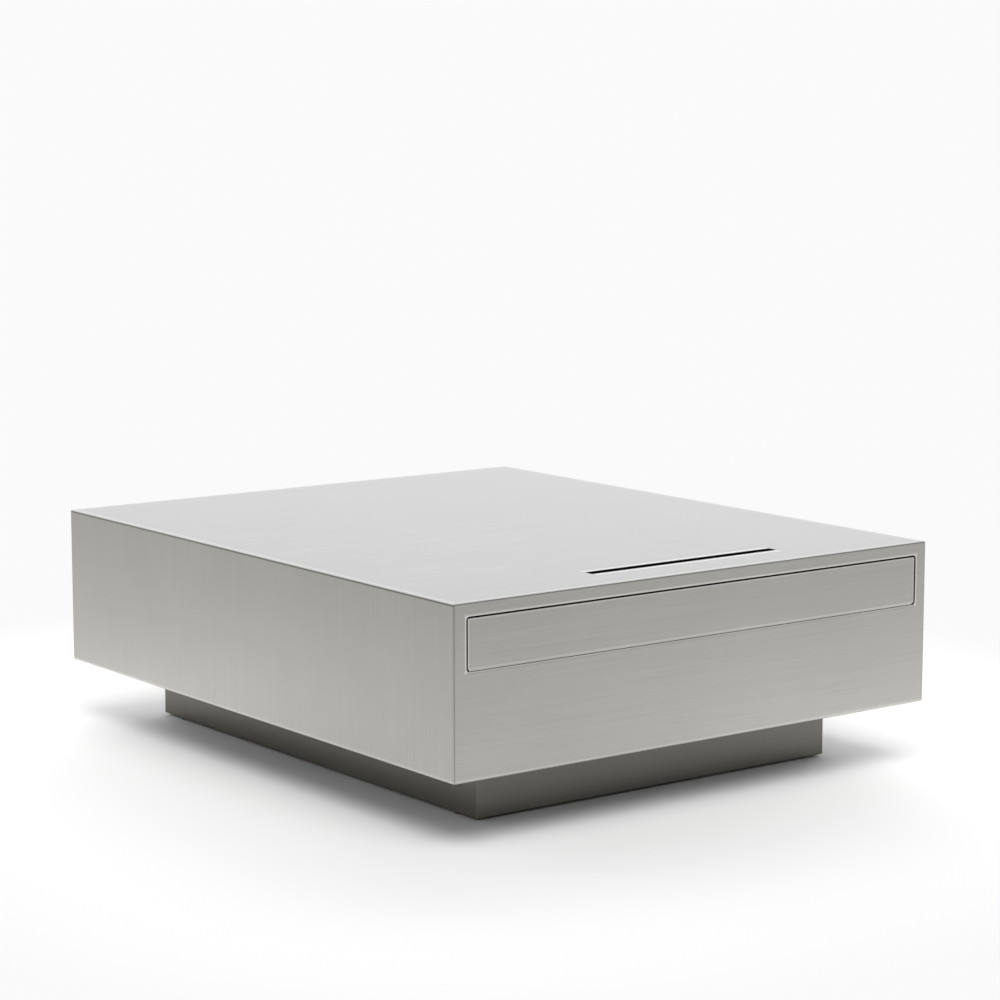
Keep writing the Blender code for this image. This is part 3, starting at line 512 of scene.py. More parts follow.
class Effects:
    """The shader node groups that the finishes share, each built once."""

    BAND_LINES = 0.21  # bands for each fine line of brushed metal
    BAND_SHARE = 0.10  # how much of the metal's relief the bands make
    STEP = 800.0  # how steeply a step up a piece rises, in each metre
    SWIRLS = 0.7  # swirls for each crystal of zinc
    SWIRL_REACH = 0.003  # how far a swirl pulls a crystal

    @staticmethod
    @cache
    def brushing() -> NodeTree:
        """Fine parallel lines of brushed metal, with broader bands among them."""
        group = Group("brushing", ("Tone", "Height"), Lines="Vector", Contrast="Float")
        along = group.vector("MULTIPLY", group["Place"], group["Lines"])
        fine = group.noise(along, scale=1.0, detail=3, rough=0.6)
        bands = group.noise(group.scaled(along, Effects.BAND_LINES), scale=1.0, detail=2, rough=0.5)
        height = group.math("MULTIPLY_ADD", bands, Effects.BAND_SHARE,
                            group.math("MULTIPLY", fine, 1 - Effects.BAND_SHARE))
        return group.close(Tone=group.tone(height, group["Contrast"]), Height=height)

    @staticmethod
    @cache
    def clouds() -> NodeTree:
        """Faint blotches, a hand wide and smaller."""
        group = Group("clouds", ("Tone",), Ripples="Float", Contrast="Float")
        broad = group.noise(group["Place"], group["Ripples"], detail=4, rough=0.62)
        return group.close(Tone=group.tone(broad, group["Contrast"]))

    @staticmethod
    @cache
    def painted_line_mask() -> NodeTree:
        """Mask of a painted highlight or shade line: how near a place is to a box's outline, such as a
        cut-out's rim.
        """
        group = Group("painted_line_mask", ("Mask",), Middle="Vector", Half="Vector", Width="Float")
        reach = group.vector("ABSOLUTE", group.vector("SUBTRACT", group["Place"], group["Middle"]))
        x, y, z = group.split(group.vector("SUBTRACT", reach, group["Half"]))
        outline = group.math("ABSOLUTE", group.chain("MAXIMUM", x, y, z))
        return group.close(Mask=group.near(outline, group["Width"], power=0.6))

    @staticmethod
    @cache
    def above() -> NodeTree:
        """Whether a place lies above a height, with a soft change over about a millimetre."""
        group = Group("above", ("Mask",), Height="Float")
        over = group.math("SUBTRACT", group.split(group["Place"])[2], group["Height"])
        return group.close(Mask=group.clamp(group.math("MULTIPLY_ADD", over, Effects.STEP, 0.5)))

    @staticmethod
    @cache
    def painted_shade_gradient() -> NodeTree:
        """Painted shading: a tone that changes evenly across a piece, along a slope from its middle."""
        group = Group("painted_shade_gradient", ("Tone",), Middle="Vector", Slope="Vector")
        offset = group.vector("SUBTRACT", group["Place"], group["Middle"])
        return group.close(Tone=group.math("ADD", group.vector("DOT_PRODUCT", offset, group["Slope"]), 1.0))

    @staticmethod
    @cache
    def edge_wear_and_highlight() -> NodeTree:
        """How near a place is to the edges of a box, where hands have worn the metal smoother and a slight
        highlight is painted.
        """
        group = Group("edge_wear_and_highlight", ("Mask",), Middle="Vector", Half="Vector", Width="Float")
        reach = group.vector("ABSOLUTE", group.vector("SUBTRACT", group["Place"], group["Middle"]))
        x, y, z = group.split(group.vector("SUBTRACT", group["Half"], reach))
        second = group.chain("MINIMUM", *[group.math("MAXIMUM", *pair) for pair in ((x, y), (y, z), (x, z))])
        return group.close(Mask=group.near(second, group["Width"], power=2.0))

    @staticmethod
    @cache
    def spangle() -> NodeTree:
        """The crystals of a zinc coat."""
        group = Group("spangle", ("Tone",), Crystals="Float", Contrast="Float")
        swirls = group.math("MULTIPLY", group["Crystals"], Effects.SWIRLS)
        swirl = group.node("TexNoise", {"Vector": group["Place"], "Scale": swirls, "Detail": 1.0})
        warped = group.vector("ADD", group["Place"], group.scaled(swirl.outputs[1], Effects.SWIRL_REACH))
        cells = group.node("TexVoronoi", {"Vector": warped, "Scale": group["Crystals"]})
        grey = group.node("SeparateColor", {0: cells.outputs["Color"]}).outputs[0]
        return group.close(Tone=group.tone(grey, group["Contrast"]))

    @staticmethod
    @cache
    def grit() -> NodeTree:
        """An even, fine grain without direction, as on moulded plastic or felt."""
        group = Group("grit", ("Tone", "Height"), Grains="Float", Contrast="Float")
        fine = group.noise(group["Place"], group["Grains"], detail=3, rough=0.65)
        return group.close(Tone=group.tone(fine, group["Contrast"]), Height=fine)


class Surface(Wiring):
    """A new material, with its shader and the place on the piece."""

    def __init__(self, name: str, metallic: float) -> None:
        """Open the material.

        Args:
            name: Its name.
            metallic: 1 for bare metal, 0 for anything else.
        """
        self.material = bpy.data.materials.new(name)
        self.material.use_nodes = True
        super().__init__(self.material.node_tree)
        self.shader = self.tree.nodes["Principled BSDF"]
        self.shader.inputs["Metallic"].default_value = metallic
        self.place = self.node("TexCoord").outputs["Object"]

    def effect(self, tree: NodeTree, **inputs: Value) -> bpy.types.NodeOutputs:
        """Outputs of a shared effect, placed in the material with its own values."""
        return self.node("Group", {"Place": self.place, **inputs}, node_tree=tree).outputs

    def paint(self, colour: NodeSocket, roughness: Value) -> None:
        """Give the shader its colour and roughness."""
        self.feed(self.shader, {"Base Color": colour, "Roughness": roughness})

    def bump(self, height: NodeSocket, strength: float, depth: float) -> None:
        """Let a pattern stand out of the surface."""
        made = self.node("Bump", {"Height": height, "Strength": strength, "Distance": depth})
        self.feed(self.shader, {"Normal": made.outputs[0]})


# Finishes


@dataclass(frozen=True)
class Finish:
    """What every finish has: a name, a colour and how rough it is."""

    name: str
    colour: Colour
    roughness: float


class Grain(Enum):
    """Which way brushed lines run, as lines in each metre along X, Y and Z."""

    OVER_AND_DOWN = (4.0, 900.0, 4.0)
    LEVEL = (4.0, 4.0, 900.0)


@dataclass(frozen=True)
class PaintedLine:
    """A line painted where a box's outline meets the sheet: a painted highlight on a rim or bend where the
    gain is above 0, painted shade along a bend or rim where it is below 0.
    """

    middle: Point
    half: Point
    width: float
    gain: float


@dataclass(frozen=True)
class BrushedSteel(Finish):
    """Stainless steel, brushed one way, with faint blotches and edges worn smoother; its colour carries
    painted highlights and shade along edges and lines, painted shading across the piece and a lighter painted
    top.
    """

    grain: Grain
    middle: Point
    half: Point
    lines: tuple[PaintedLine, ...] = ()
    # Colour painted on the top above top_height: lighter than the sides of the same sheet, as painted light.
    top: Colour | None = None
    top_height: float = 0.3785
    top_gloss: float = 0.10
    contrast: float = 0.30
    cloud_ripples: float = 5.0
    cloud_contrast: float = 0.13
    mottle_ripples: float = 230.0
    mottle_contrast: float = 0.11
    # Painted shading: darker towards the top and towards the left front corner, lighter lower down.
    painted_shade_slope: Point = (0.05, 0.03, -0.88)
    # Near the casing's edges the metal is worn less rough, and its colour is lightened a little as a painted
    # highlight.
    edge_wear_and_highlight_width: float = 0.004
    edge_highlight_gain: float = 0.03
    rubbed_gloss: float = 0.06
    line_strength: float = 0.35
    line_depth: float = 0.00004

    def material(self) -> Material:
        """Make the material."""
        surface = Surface(self.name, 1.0)
        brushed = surface.effect(Effects.brushing(), Lines=self.grain.value, Contrast=self.contrast)
        clouds = surface.effect(Effects.clouds(), Ripples=self.cloud_ripples, Contrast=self.cloud_contrast)[0]
        mottle = surface.effect(Effects.clouds(), Ripples=self.mottle_ripples,
                                Contrast=self.mottle_contrast)[0]
        edges = surface.effect(Effects.edge_wear_and_highlight(), Middle=self.middle, Half=self.half,
                               Width=self.edge_wear_and_highlight_width)[0]
        painted_shade_gradient = surface.effect(Effects.painted_shade_gradient(), Middle=self.middle, Slope=self.painted_shade_slope)[0]
        # The colour's painted highlights and shade: the slight one along the edges, then the painted lines.
        painted_light_tone = surface.math("MULTIPLY_ADD", edges, self.edge_highlight_gain, 1.0)
        # Each painted line adds its painted highlight or painted shade to the colour.
        for line in self.lines:
            mask = surface.effect(Effects.painted_line_mask(), Middle=line.middle, Half=line.half,
                                  Width=line.width)[0]
            painted_light_tone = surface.math("MULTIPLY_ADD", mask, line.gain, painted_light_tone)
        ground = self.colour
        uneven = surface.math("MULTIPLY", clouds, self.roughness)
        # The top of the sheet is painted lighter, as painted light, and is a little less rough.
        if self.top:
            painted_top_mask = surface.effect(Effects.above(), Height=self.top_height)[0]
            ground = surface.node("MixRGB", {0: painted_top_mask, 1: (*self.colour, 1), 2: (*self.top, 1)}).outputs[0]
            uneven = surface.math("MULTIPLY_ADD", painted_top_mask, -self.top_gloss, uneven)
        surface.paint(surface.tinted(ground, brushed["Tone"], clouds, mottle, painted_shade_gradient, painted_light_tone),
                      surface.math("MULTIPLY_ADD", edges, -self.rubbed_gloss, uneven))
        surface.bump(brushed["Height"], self.line_strength, self.line_depth)
        return surface.material


@dataclass(frozen=True)
class ZincSheet(Finish):
    """Galvanised sheet with its crystals."""

    def material(self) -> Material:
        """Make the material."""
        surface = Surface(self.name, 1.0)
        crystals = surface.effect(Effects.spangle(), Crystals=150.0, Contrast=0.13)[0]
        clouds = surface.effect(Effects.clouds(), Ripples=12.0, Contrast=0.12)[0]
        surface.paint(surface.tinted(self.colour, crystals, clouds),
                      surface.math("MULTIPLY", crystals, self.roughness))
        return surface.material


@dataclass(frozen=True)
class PlatedSteel(Finish):
    """Smooth plated steel of slides, screws and springs, with light wear."""

    def material(self) -> Material:
        """Make the material."""
        surface = Surface(self.name, 1.0)
        clouds = surface.effect(Effects.clouds(), Ripples=40.0, Contrast=0.16)[0]
        grit = surface.effect(Effects.grit(), Grains=900.0, Contrast=0.06)["Tone"]
        surface.paint(surface.tinted(self.colour, clouds, grit),
                      surface.math("MULTIPLY", clouds, self.roughness))
        return surface.material


@dataclass(frozen=True)
class Moulded(Finish):
    """Moulded plastic or rubber with a fine grain."""

    grain_depth: float = 0.00005
    gloss: float = 0.5

    def material(self) -> Material:
        """Make the material."""
        surface = Surface(self.name, 0.0)
        surface.feed(surface.shader, {"Specular IOR Level": self.gloss})
        grit = surface.effect(Effects.grit(), Grains=2200.0, Contrast=0.25)
        surface.paint(surface.tinted(self.colour, grit["Tone"]),
                      surface.math("MULTIPLY", grit["Tone"], self.roughness))
        surface.bump(grit["Height"], strength=0.4, depth=self.grain_depth)
        return surface.material


@dataclass(frozen=True)
class Felt(Finish):
    """Pressed wool felt: a fuzzy, uneven surface that glows a little at grazing angles."""

    def material(self) -> Material:
        """Make the material."""
        surface = Surface(self.name, 0.0)
        surface.feed(surface.shader, {"Sheen Weight": 0.15, "Sheen Roughness": 0.6})
        fibres = surface.effect(Effects.grit(), Grains=900.0, Contrast=1.3)
        tufts = surface.effect(Effects.grit(), Grains=90.0, Contrast=0.7)
        surface.paint(surface.tinted(self.colour, fibres["Tone"], tufts["Tone"]), self.roughness)
        height = surface.math("MULTIPLY_ADD", tufts["Height"], 0.7, fibres["Height"])
        surface.bump(height, strength=0.7, depth=0.0005)
        return surface.material


@dataclass
class Palette:
    """The finishes of the table, made once."""

    steel: Colour = (0.424, 0.417, 0.390)
    steel_top_painted_lighter: Colour = (0.570, 0.572, 0.568)
    dark_steel: Colour = (0.168, 0.161, 0.142)
    casing_middle: Point = (0, 0, 0.24)
    casing_half: Point = (0.5, 0.6, 0.14)
    plinth_middle: Point = (0, 0, 0.05)
    plinth_half: Point = (0.373, 0.4865, 0.047)
    # Painted lines along the bends, the slot and the drawer's opening: a gain above 0 is a painted highlight,
    # below 0 painted shade.
    top_bend: PaintedLine = PaintedLine((0, 0, -1.6216), (FAR, FAR, 2), 0.0015, -0.40)
    side_top_bend: PaintedLine = PaintedLine((0, 0, -1.6227), (FAR, FAR, 2), 0.0020, -0.58)
    top_rim: PaintedLine = PaintedLine((0, 0, 0), (0.4986, 0.5986, FAR), 0.0013, 0.50)
    top_border: PaintedLine = PaintedLine((0, 0, 0), (0.4928, 0.5928, FAR), 0.0065, 0.22)
    foot_bend: PaintedLine = PaintedLine((0, 0, 2.1030), (FAR, FAR, 2), 0.0028, 0.26)
    end_bends: PaintedLine = PaintedLine((0, 0, 0), (FAR, 0.5988, FAR), 0.0022, -0.30)
    side_bends: PaintedLine = PaintedLine((0, 0, 0), (0.4988, FAR, FAR), 0.0022, -0.30)
    slot_edge: PaintedLine = PaintedLine((0.034, -0.506, 0.38), (0.198, 0.0095, FAR), 0.0026, -0.75)
    slot_lip: PaintedLine = PaintedLine((0.034, -0.506, 0.38), (0.1930, 0.0175, FAR), 0.0065, 0.50)
    opening: PaintedLine = PaintedLine((0, -0.6, 0.315), (0.4765, 0.03, 0.0435), 0.0030, 0.60)
    opening_foot: PaintedLine = PaintedLine((0, -0.6, 0.2708), (0.4740, 0.0001, 0.0001), 0.0030, -0.46)
    drawer: PaintedLine = PaintedLine((0, -0.6, 0.315), (0.4725, 0.03, 0.0395), 0.0026, 0.38)
    made: dict[str, Material] = field(default_factory=dict)

    def mix(self) -> None:
        """Make every finish."""
        casing = {"colour": self.steel, "roughness": 0.36, "middle": self.casing_middle,
                  "half": self.casing_half}
        finishes = (
            BrushedSteel("steel_brushed_over_and_down", **casing, grain=Grain.OVER_AND_DOWN,
                         top=self.steel_top_painted_lighter,
                         lines=(self.slot_edge, self.slot_lip, self.top_rim, self.top_border,
                                self.side_top_bend, self.foot_bend, self.end_bends)),
            BrushedSteel("steel_brushed_level", **casing, grain=Grain.LEVEL,
                         lines=(self.opening, self.opening_foot, self.top_bend, self.foot_bend,
                                self.side_bends)),
            BrushedSteel("drawer_steel_brushed_level", **casing, grain=Grain.LEVEL, lines=(self.drawer,)),
            BrushedSteel("plinth_steel_brushed", self.dark_steel, 0.38, Grain.LEVEL, self.plinth_middle,
                         self.plinth_half, contrast=0.20, painted_shade_slope=(0.0, 0.0, 0.0)),
            ZincSheet("zinc_sheet", (0.42, 0.43, 0.44), 0.46),
            PlatedSteel("slide_plating", (0.52, 0.53, 0.55), 0.28),
            PlatedSteel("cage_strip", (0.33, 0.33, 0.35), 0.40),
            PlatedSteel("screw_plating", (0.40, 0.40, 0.41), 0.30),
            Felt("drawer_felt", (0.045, 0.045, 0.048), 0.95),
            Moulded("black_plastic", (0.020, 0.020, 0.022), 0.50),
            Moulded("black_rubber", (0.025, 0.025, 0.025), 0.80, grain_depth=0.00008),
            # Near black, with little gloss: painted shade inside the slot.
            Moulded("slot_painted_shade", (0.0025, 0.0025, 0.0028), 0.90, gloss=0.05),
        )
        for finish in finishes:
            self.made[finish.name] = finish.material()
            log.info("finish %s", finish.name)

    def __getitem__(self, name: str) -> Material:
        """The finish of that name."""
        return self.made[name]


# The table's sub-assemblies


@dataclass(frozen=True)
class Screw:
    """A screw with a cross recess, and with a domed or a flush head."""

    radius: float
    height: float
    dome: float
    shank: float
    length: float
    recess_reach: float = 0.0021
    recess_half: float = 0.0005
    recess_depth: float = 0.0009

    def model(self, seat: Point, way: Point) -> Object:
        """Model one screw.

        Args:
            seat: Middle of its head's seat.
            way: The way that its head faces, along one axis.

        Returns:
            The screw.
        """
        seat, way = Vector(seat), Vector(way)
        tip = seat + way * self.height
        rise = tip - seat
        deselect()
        bpy.ops.mesh.primitive_cylinder_add(vertices=ROUND_SIDES, radius=self.radius, depth=rise.length,
                                            location=(seat + tip) / 2)
        screw = bpy.context.object
        screw.rotation_euler = rise.to_track_quat("Z", "Y").to_euler()
        settle(screw, "first_screw")
        round_edges(screw, on_side(tip, way), self.dome, segments=4)
        pick(screw, Part.FACE, lambda middle, normal: normal.dot(way) < -FACING)
        bpy.ops.mesh.inset(thickness=self.radius - self.shank)
        bpy.ops.mesh.extrude_region_move(TRANSFORM_OT_translate={"value": -way * self.length})
        done()
        across = [axis for axis in range(3) if not way[axis]]
        for axis in across:
            half = Vector([self.recess_half] * 3)
            half[axis] = self.recess_reach
            half[3 - sum(across)] = self.recess_depth
            combine(screw, block("recess_cutter", tip - half, tip + half), Work.CUT)
        smooth(screw)
        return screw

    def drive(self, name: str, body: str, material: Material, seat: Point, way: Point,
              shifts: Sequence[Point]) -> None:
        """Drive several screws of the kind.

        Args:
            name: Their name, before the number.
            body: The body that they ride on.
            material: Their finish.
            seat: Where the middle of a head's seat lies before its shift.
            way: The way that the heads face, along one axis.
            shifts: How far each screw is moved.
        """
        first = self.model(seat, way)
        for number, shift in enumerate(shifts, 1):
            mount_piece(twin(first, f"{name}_{number}", shift), body, "screw_steel", material)
        bpy.data.objects.remove(first)


LOW_HEAD = Screw(radius=0.0035, height=0.0016, dome=0.0006, shank=0.0017, length=0.004)
FLUSH_HEAD = Screw(radius=0.0035, height=0.0002, dome=0.0001, shank=0.0017, length=0.010, recess_depth=0.0006)


@dataclass
class Casing:
    """The folded casing: wrap, front panel, back panel and what stiffens them from inside."""

    palette: Palette
    sheet: float = 0.002
    flange: float = 0.025
    edge: float = 0.0030
    seam: float = 0.0005
    drawer_gap: float = 0.003
    cutout_radius: float = 0.006
    slot_low: Point = (-0.164, -0.5155)
    slot_high: Point = (0.232, -0.4965)
    overrun: float = 0.02
    # Thickness and depth of the near-black sheet that paints the shade inside the slot.
    lining: float = 0.0004
    lining_depth: float = 0.012
    side_screws: Sequence[float] = (-0.45, -0.15, 0.15, 0.45)
    end_screws: Sequence[float] = (-0.25, 0.25)

    def build(self) -> None:
        """Model the casing and dress its inside."""
        low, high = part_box("casing_wrap")
        shell = folded_box("steel_wrap", low, high, self.sheet, {"-Z": self.flange})
        round_box_edges(shell, low, high, self.edge)
        self.cut_slot(shell, high.z)
        self.cut_drawer_opening(shell)
        panels = {}
        for name, end in ENDS.items():
            panels[name] = twin(shell, "steel_" + name)
            combine(panels[name], self.mitre_wedge(end, low, high, self.seam), Work.TRIM)
            combine(shell, self.mitre_wedge(end, low, high, 0), Work.CUT)
        for piece in (shell, *panels.values()):
            smooth(piece)
        mount_piece(shell, "table", "brushed_steel", self.palette["steel_brushed_over_and_down"],
                    "casing_wrap")
        for name, panel in panels.items():
            mount_piece(panel, "table", "brushed_steel", self.palette["steel_brushed_level"], name + "_panel")
        self.shade_slot(high.z)
        dress(self.palette["zinc_sheet"], "bottom_panel", "compartment_floor", "compartment_wall",
              "top_rail_front", "top_rail_middle", "top_rail_rear", "runner_bracket_left",
              "runner_bracket_right", *["rib_" + corner for corner in CORNERS])
        self.drive_closing_screws()

    def cut_slot(self, shell: Object, top: float) -> None:
        """Cut the slot through the top."""
        low, high = (*self.slot_low, top - self.overrun), (*self.slot_high, top + self.overrun)
        combine(shell, block("slot_cutter", low, high), Work.CUT)

    def shade_slot(self, top: float) -> None:
        """Put a near-black sheet in the slot, just under the top, as painted shade inside it.

        Args:
            top: Height of the top.
        """
        low, high = (*self.slot_low, top - self.lining_depth), (*self.slot_high, top - self.lining)
        lining = folded_box("slot_shade_lining", low, high, self.lining, {"+Z": self.lining, "-Z": self.lining})
        smooth(lining)
        mount_piece(lining, "table", "black_plastic", self.palette["slot_painted_shade"])

    def cut_drawer_opening(self, shell: Object) -> None:
        """Cut the drawer's opening in the front, with rounded corners.

        Args:
            shell: The casing.
        """
        low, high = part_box("drawer_front")
        gap = Vector((self.drawer_gap, 0, self.drawer_gap))
        low = low - gap - Vector((0, self.overrun, 0))
        high = high + gap
        cutter = block("opening_cutter", low, high)
        round_box_edges(cutter, low, high, self.cutout_radius, along="Y", segments=6)
        combine(shell, cutter, Work.CUT)

    def mitre_wedge(self, end: int, low: Vector, high: Vector, seam: float) -> Object:
        """Block with mitred sides that holds all of the front or the back panel.

        Args:
            end: -1 for the front, 1 for the back.
            low: Lowest corner of the casing.
            high: Highest corner of the casing.
            seam: How far the mitres stand back from the casing's edges.

        Returns:
            The block.
        """
        face = high.y * end
        spare = Vector((self.overrun, 0, self.overrun))
        near, far = face + end * self.overrun, face - end * (self.flange + self.sheet)
        wedge_low, wedge_high = low - spare, high + spare
        wedge_low.y, wedge_high.y = min(near, far), max(near, far)
        wedge = block("mitre_wedge", wedge_low, wedge_high)
        for edge, way in ((low, (-1, -end, 0)), (high, (1, -end, 0)), (high, (0, -end, 1))):
            slice_off(wedge, (edge.x, face + end * seam, edge.z), way)
        return wedge

    def drive_closing_screws(self) -> None:
        """Drive the screws that hold the closing panel to the casing's lips."""
        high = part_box("casing_wrap")[1]
        inset = self.flange / 2
        across, along = high.x - inset, high.y - inset
        places = [(side * across, y, 0) for side in SIDES.values() for y in self.side_screws]
        places += [(x, end * along, 0) for end in ENDS.values() for x in self.end_screws]
        seat = (0, 0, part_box("bottom_panel")[0].z)
        FLUSH_HEAD.drive("closing_screw", "table", self.palette["screw_plating"], seat, (0, 0, -1), places)


@dataclass
class Drawer:
    """The drawer: front pan, folded tray with its end plates, felt mat and screws."""

    palette: Palette
    sheet: float = 0.002
    lip: float = 0.022
    corner: float = 0.003
    edge: float = 0.0008
    closing_depth: float = 0.0016
    closing_gap: float = 0.0004
    closing_edge: float = 0.0003
    cut_edge: float = 0.0002
    mat_corner: float = 0.004
    mat_edge: float = 0.0007

    def build(self) -> None:
        """Model and dress the drawer."""
        self.build_front()
        self.build_tray()
        self.build_mat()
        dress(self.palette["screw_plating"],
              *[f"drawer_front_screw_{level}_{side}" for level in ("lower", "upper") for side in SIDES],
              *["strike_plate_" + side for side in SIDES])

    def build_front(self) -> None:
        """Fold the drawer front's pan."""
        low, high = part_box("drawer_front")
        pan = folded_box("drawer_pan", low, high, self.sheet, {"+Y": self.lip})
        round_box_edges(pan, low, high, self.corner, along="Y", segments=6)
        round_edges(pan, on_side(low, (0, -1, 0)), self.edge, segments=3)
        smooth(pan)
        mount_piece(pan, "drawer", "brushed_steel", self.palette["drawer_steel_brushed_level"],
                    "drawer_front")
        self.close_lower_gap(low, high)

    def close_lower_gap(self, low: Vector, high: Vector) -> None:
        """Fit the strip behind the pan's lower edge that closes the gap to the casing.

        Args:
            low: Lowest corner of the pan.
            high: Highest corner of the pan.
        """
        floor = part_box("compartment_floor")[1].z
        strip_low = (low.x + self.corner, low.y + self.closing_depth, floor + self.closing_gap)
        strip_high = (high.x - self.corner, high.y - self.sheet, low.z)
        strip = block("drawer_closing_strip", strip_low, strip_high)
        round_box_edges(strip, strip_low, strip_high, self.closing_edge, along="XZ", segments=2)
        smooth(strip)
        mount_piece(strip, "drawer", "brushed_steel", self.palette["drawer_steel_brushed_level"])

    def build_tray(self) -> None:
        """Round the cut edges of the tray and its plates."""
        for node in ("drawer_tray", "drawer_inner_front", "drawer_back"):
            piece = from_solid(node + "_sheet", node)
            break_edges(piece, self.cut_edge)
            smooth(piece)
            mount_piece(piece, "drawer", "inner_steel", self.palette["zinc_sheet"], node)

    def build_mat(self) -> None:
        """Cut the felt mat, with soft edges."""
        low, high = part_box("drawer_mat")
        mat = block("drawer_felt_mat", low, high)
        round_box_edges(mat, low, high, self.mat_corner, along="Z")
        round_edges(mat, on_side(high, (0, 0, 1)), self.mat_edge, segments=3)
        smooth(mat)
        mount_piece(mat, "drawer", "drawer_felt", self.palette["drawer_felt"], "drawer_mat")


@dataclass
class Runners:
    """The two ball-bearing slides, with the screws that hold them."""

    palette: Palette
    sheet: float = 0.0012
    cut_edge: float = 0.0002
    screw_places: Sequence[float] = (-0.550, -0.350, -0.165)
    slot_places: Sequence[float] = (-0.530, -0.350, -0.185)
    slot_half: Point = (0.004, 0.016, 0.0045)
    slot_flat: float = 0.0002

    def build(self) -> None:
        """Model and dress the slides."""
        for side, way in SIDES.items():
            for member, body in (("cabinet", "table"), ("middle", f"middle_member_{side}"),
                                 ("drawer", "drawer")):
                node = f"{member}_member_{side}"
                piece = from_solid(f"{member}_runner_{side}", node)
                if member == "middle":
                    self.cut_access_slots(piece, node, way)
                break_edges(piece, self.cut_edge)
                smooth(piece)
                mount_piece(piece, body, "slide_steel", self.palette["slide_plating"], node)
            dress(self.palette["cage_strip"], f"outer_ball_cage_{side}", f"inner_ball_cage_{side}")
            self.drive_screws(side, way)

    def cut_access_slots(self, piece: Object, node: str, way: int) -> None:
        """Cut the slots of a middle member through which a screwdriver reaches the cabinet member's screws.

        Args:
            piece: The middle member.
            node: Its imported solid.
            way: 1 for the right slide, -1 for the left one.
        """
        low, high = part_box(node)
        web = high.x if way > 0 else low.x
        half = Vector(self.slot_half)
        for place in self.slot_places:
            middle = Vector((web, place, (low.z + high.z) / 2))
            cutter = block("slot_cutter", middle - half, middle + half)
            round_box_edges(cutter, middle - half, middle + half, half.z - self.slot_flat, along="X",
                            segments=8)
            combine(piece, cutter, Work.CUT)

    def drive_screws(self, side: str, way: int) -> None:
        """Drive the screws of one slide: low heads in the drawer member, flush ones in the cabinet member.

        Args:
            side: left or right.
            way: 1 for the right slide, -1 for the left one.
        """
        for member, body, kind, facing in (("drawer", "drawer", LOW_HEAD, way),
                                           ("cabinet", "table", FLUSH_HEAD, -way)):
            low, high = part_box(f"{member}_member_{side}")
            back = low.x if facing > 0 else high.x
            seat = (back + facing * self.sheet, 0, (low.z + high.z) / 2)
            kind.drive(f"{member}_runner_screw_{side}", body, self.palette["screw_plating"], seat,
                       (facing, 0, 0), [(0, place, 0) for place in self.screw_places])


@dataclass
class Latches:
    """The push-to-open latches and rubber stops behind the drawer."""

    palette: Palette

    def build(self) -> None:
        """Dress the latches and the stops."""
        for side in SIDES:
            dress(self.palette["black_plastic"], f"latch_housing_{side}", f"latch_plunger_{side}")
            dress(self.palette["slide_plating"], f"latch_spring_{side}")
            dress(self.palette["black_rubber"], f"drawer_stop_{side}")


@dataclass
class Plinth:
    """The set-back plinth: four mitred panels, corner angles, glides and bolts."""

    palette: Palette
    sheet: float = 0.002
    top_flange: float = 0.030
    foot_flange: float = 0.025
    edge: float = 0.0014

    def build(self) -> None:
        """Model the panels and dress the rest."""
        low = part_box("plinth_left")[0]
        low.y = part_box("plinth_front")[0].y
        high = Vector((-low.x, -low.y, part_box("plinth_right")[1].z))
        ring = folded_box("plinth_ring", low, high, self.sheet,
                          {"+Z": self.top_flange, "-Z": self.foot_flange})
        round_box_edges(ring, low, high, self.edge)
        walls = {"front": (0, -1), "back": (0, 1), "left": (-1, 0), "right": (1, 0)}
        for name, (x, y) in walls.items():
            panel = twin(ring, "plinth_panel_" + name)
            for side in (1, -1):
                corner = Vector((x or side, y or side, 0))
                slice_off(panel, high * corner, corner - 2 * Vector((x, y, 0)))
            smooth(panel)
            mount_piece(panel, "table", "plinth_steel", self.palette["plinth_steel_brushed"],
                        "plinth_" + name)
        bpy.data.objects.remove(ring)
        for kind, finish in (("plinth_corner_", "plinth_steel_brushed"), ("glide_", "black_plastic"),
                             ("plinth_bolt_", "screw_plating")):
            dress(self.palette[finish], *[kind + corner for corner in CORNERS])


# The studio


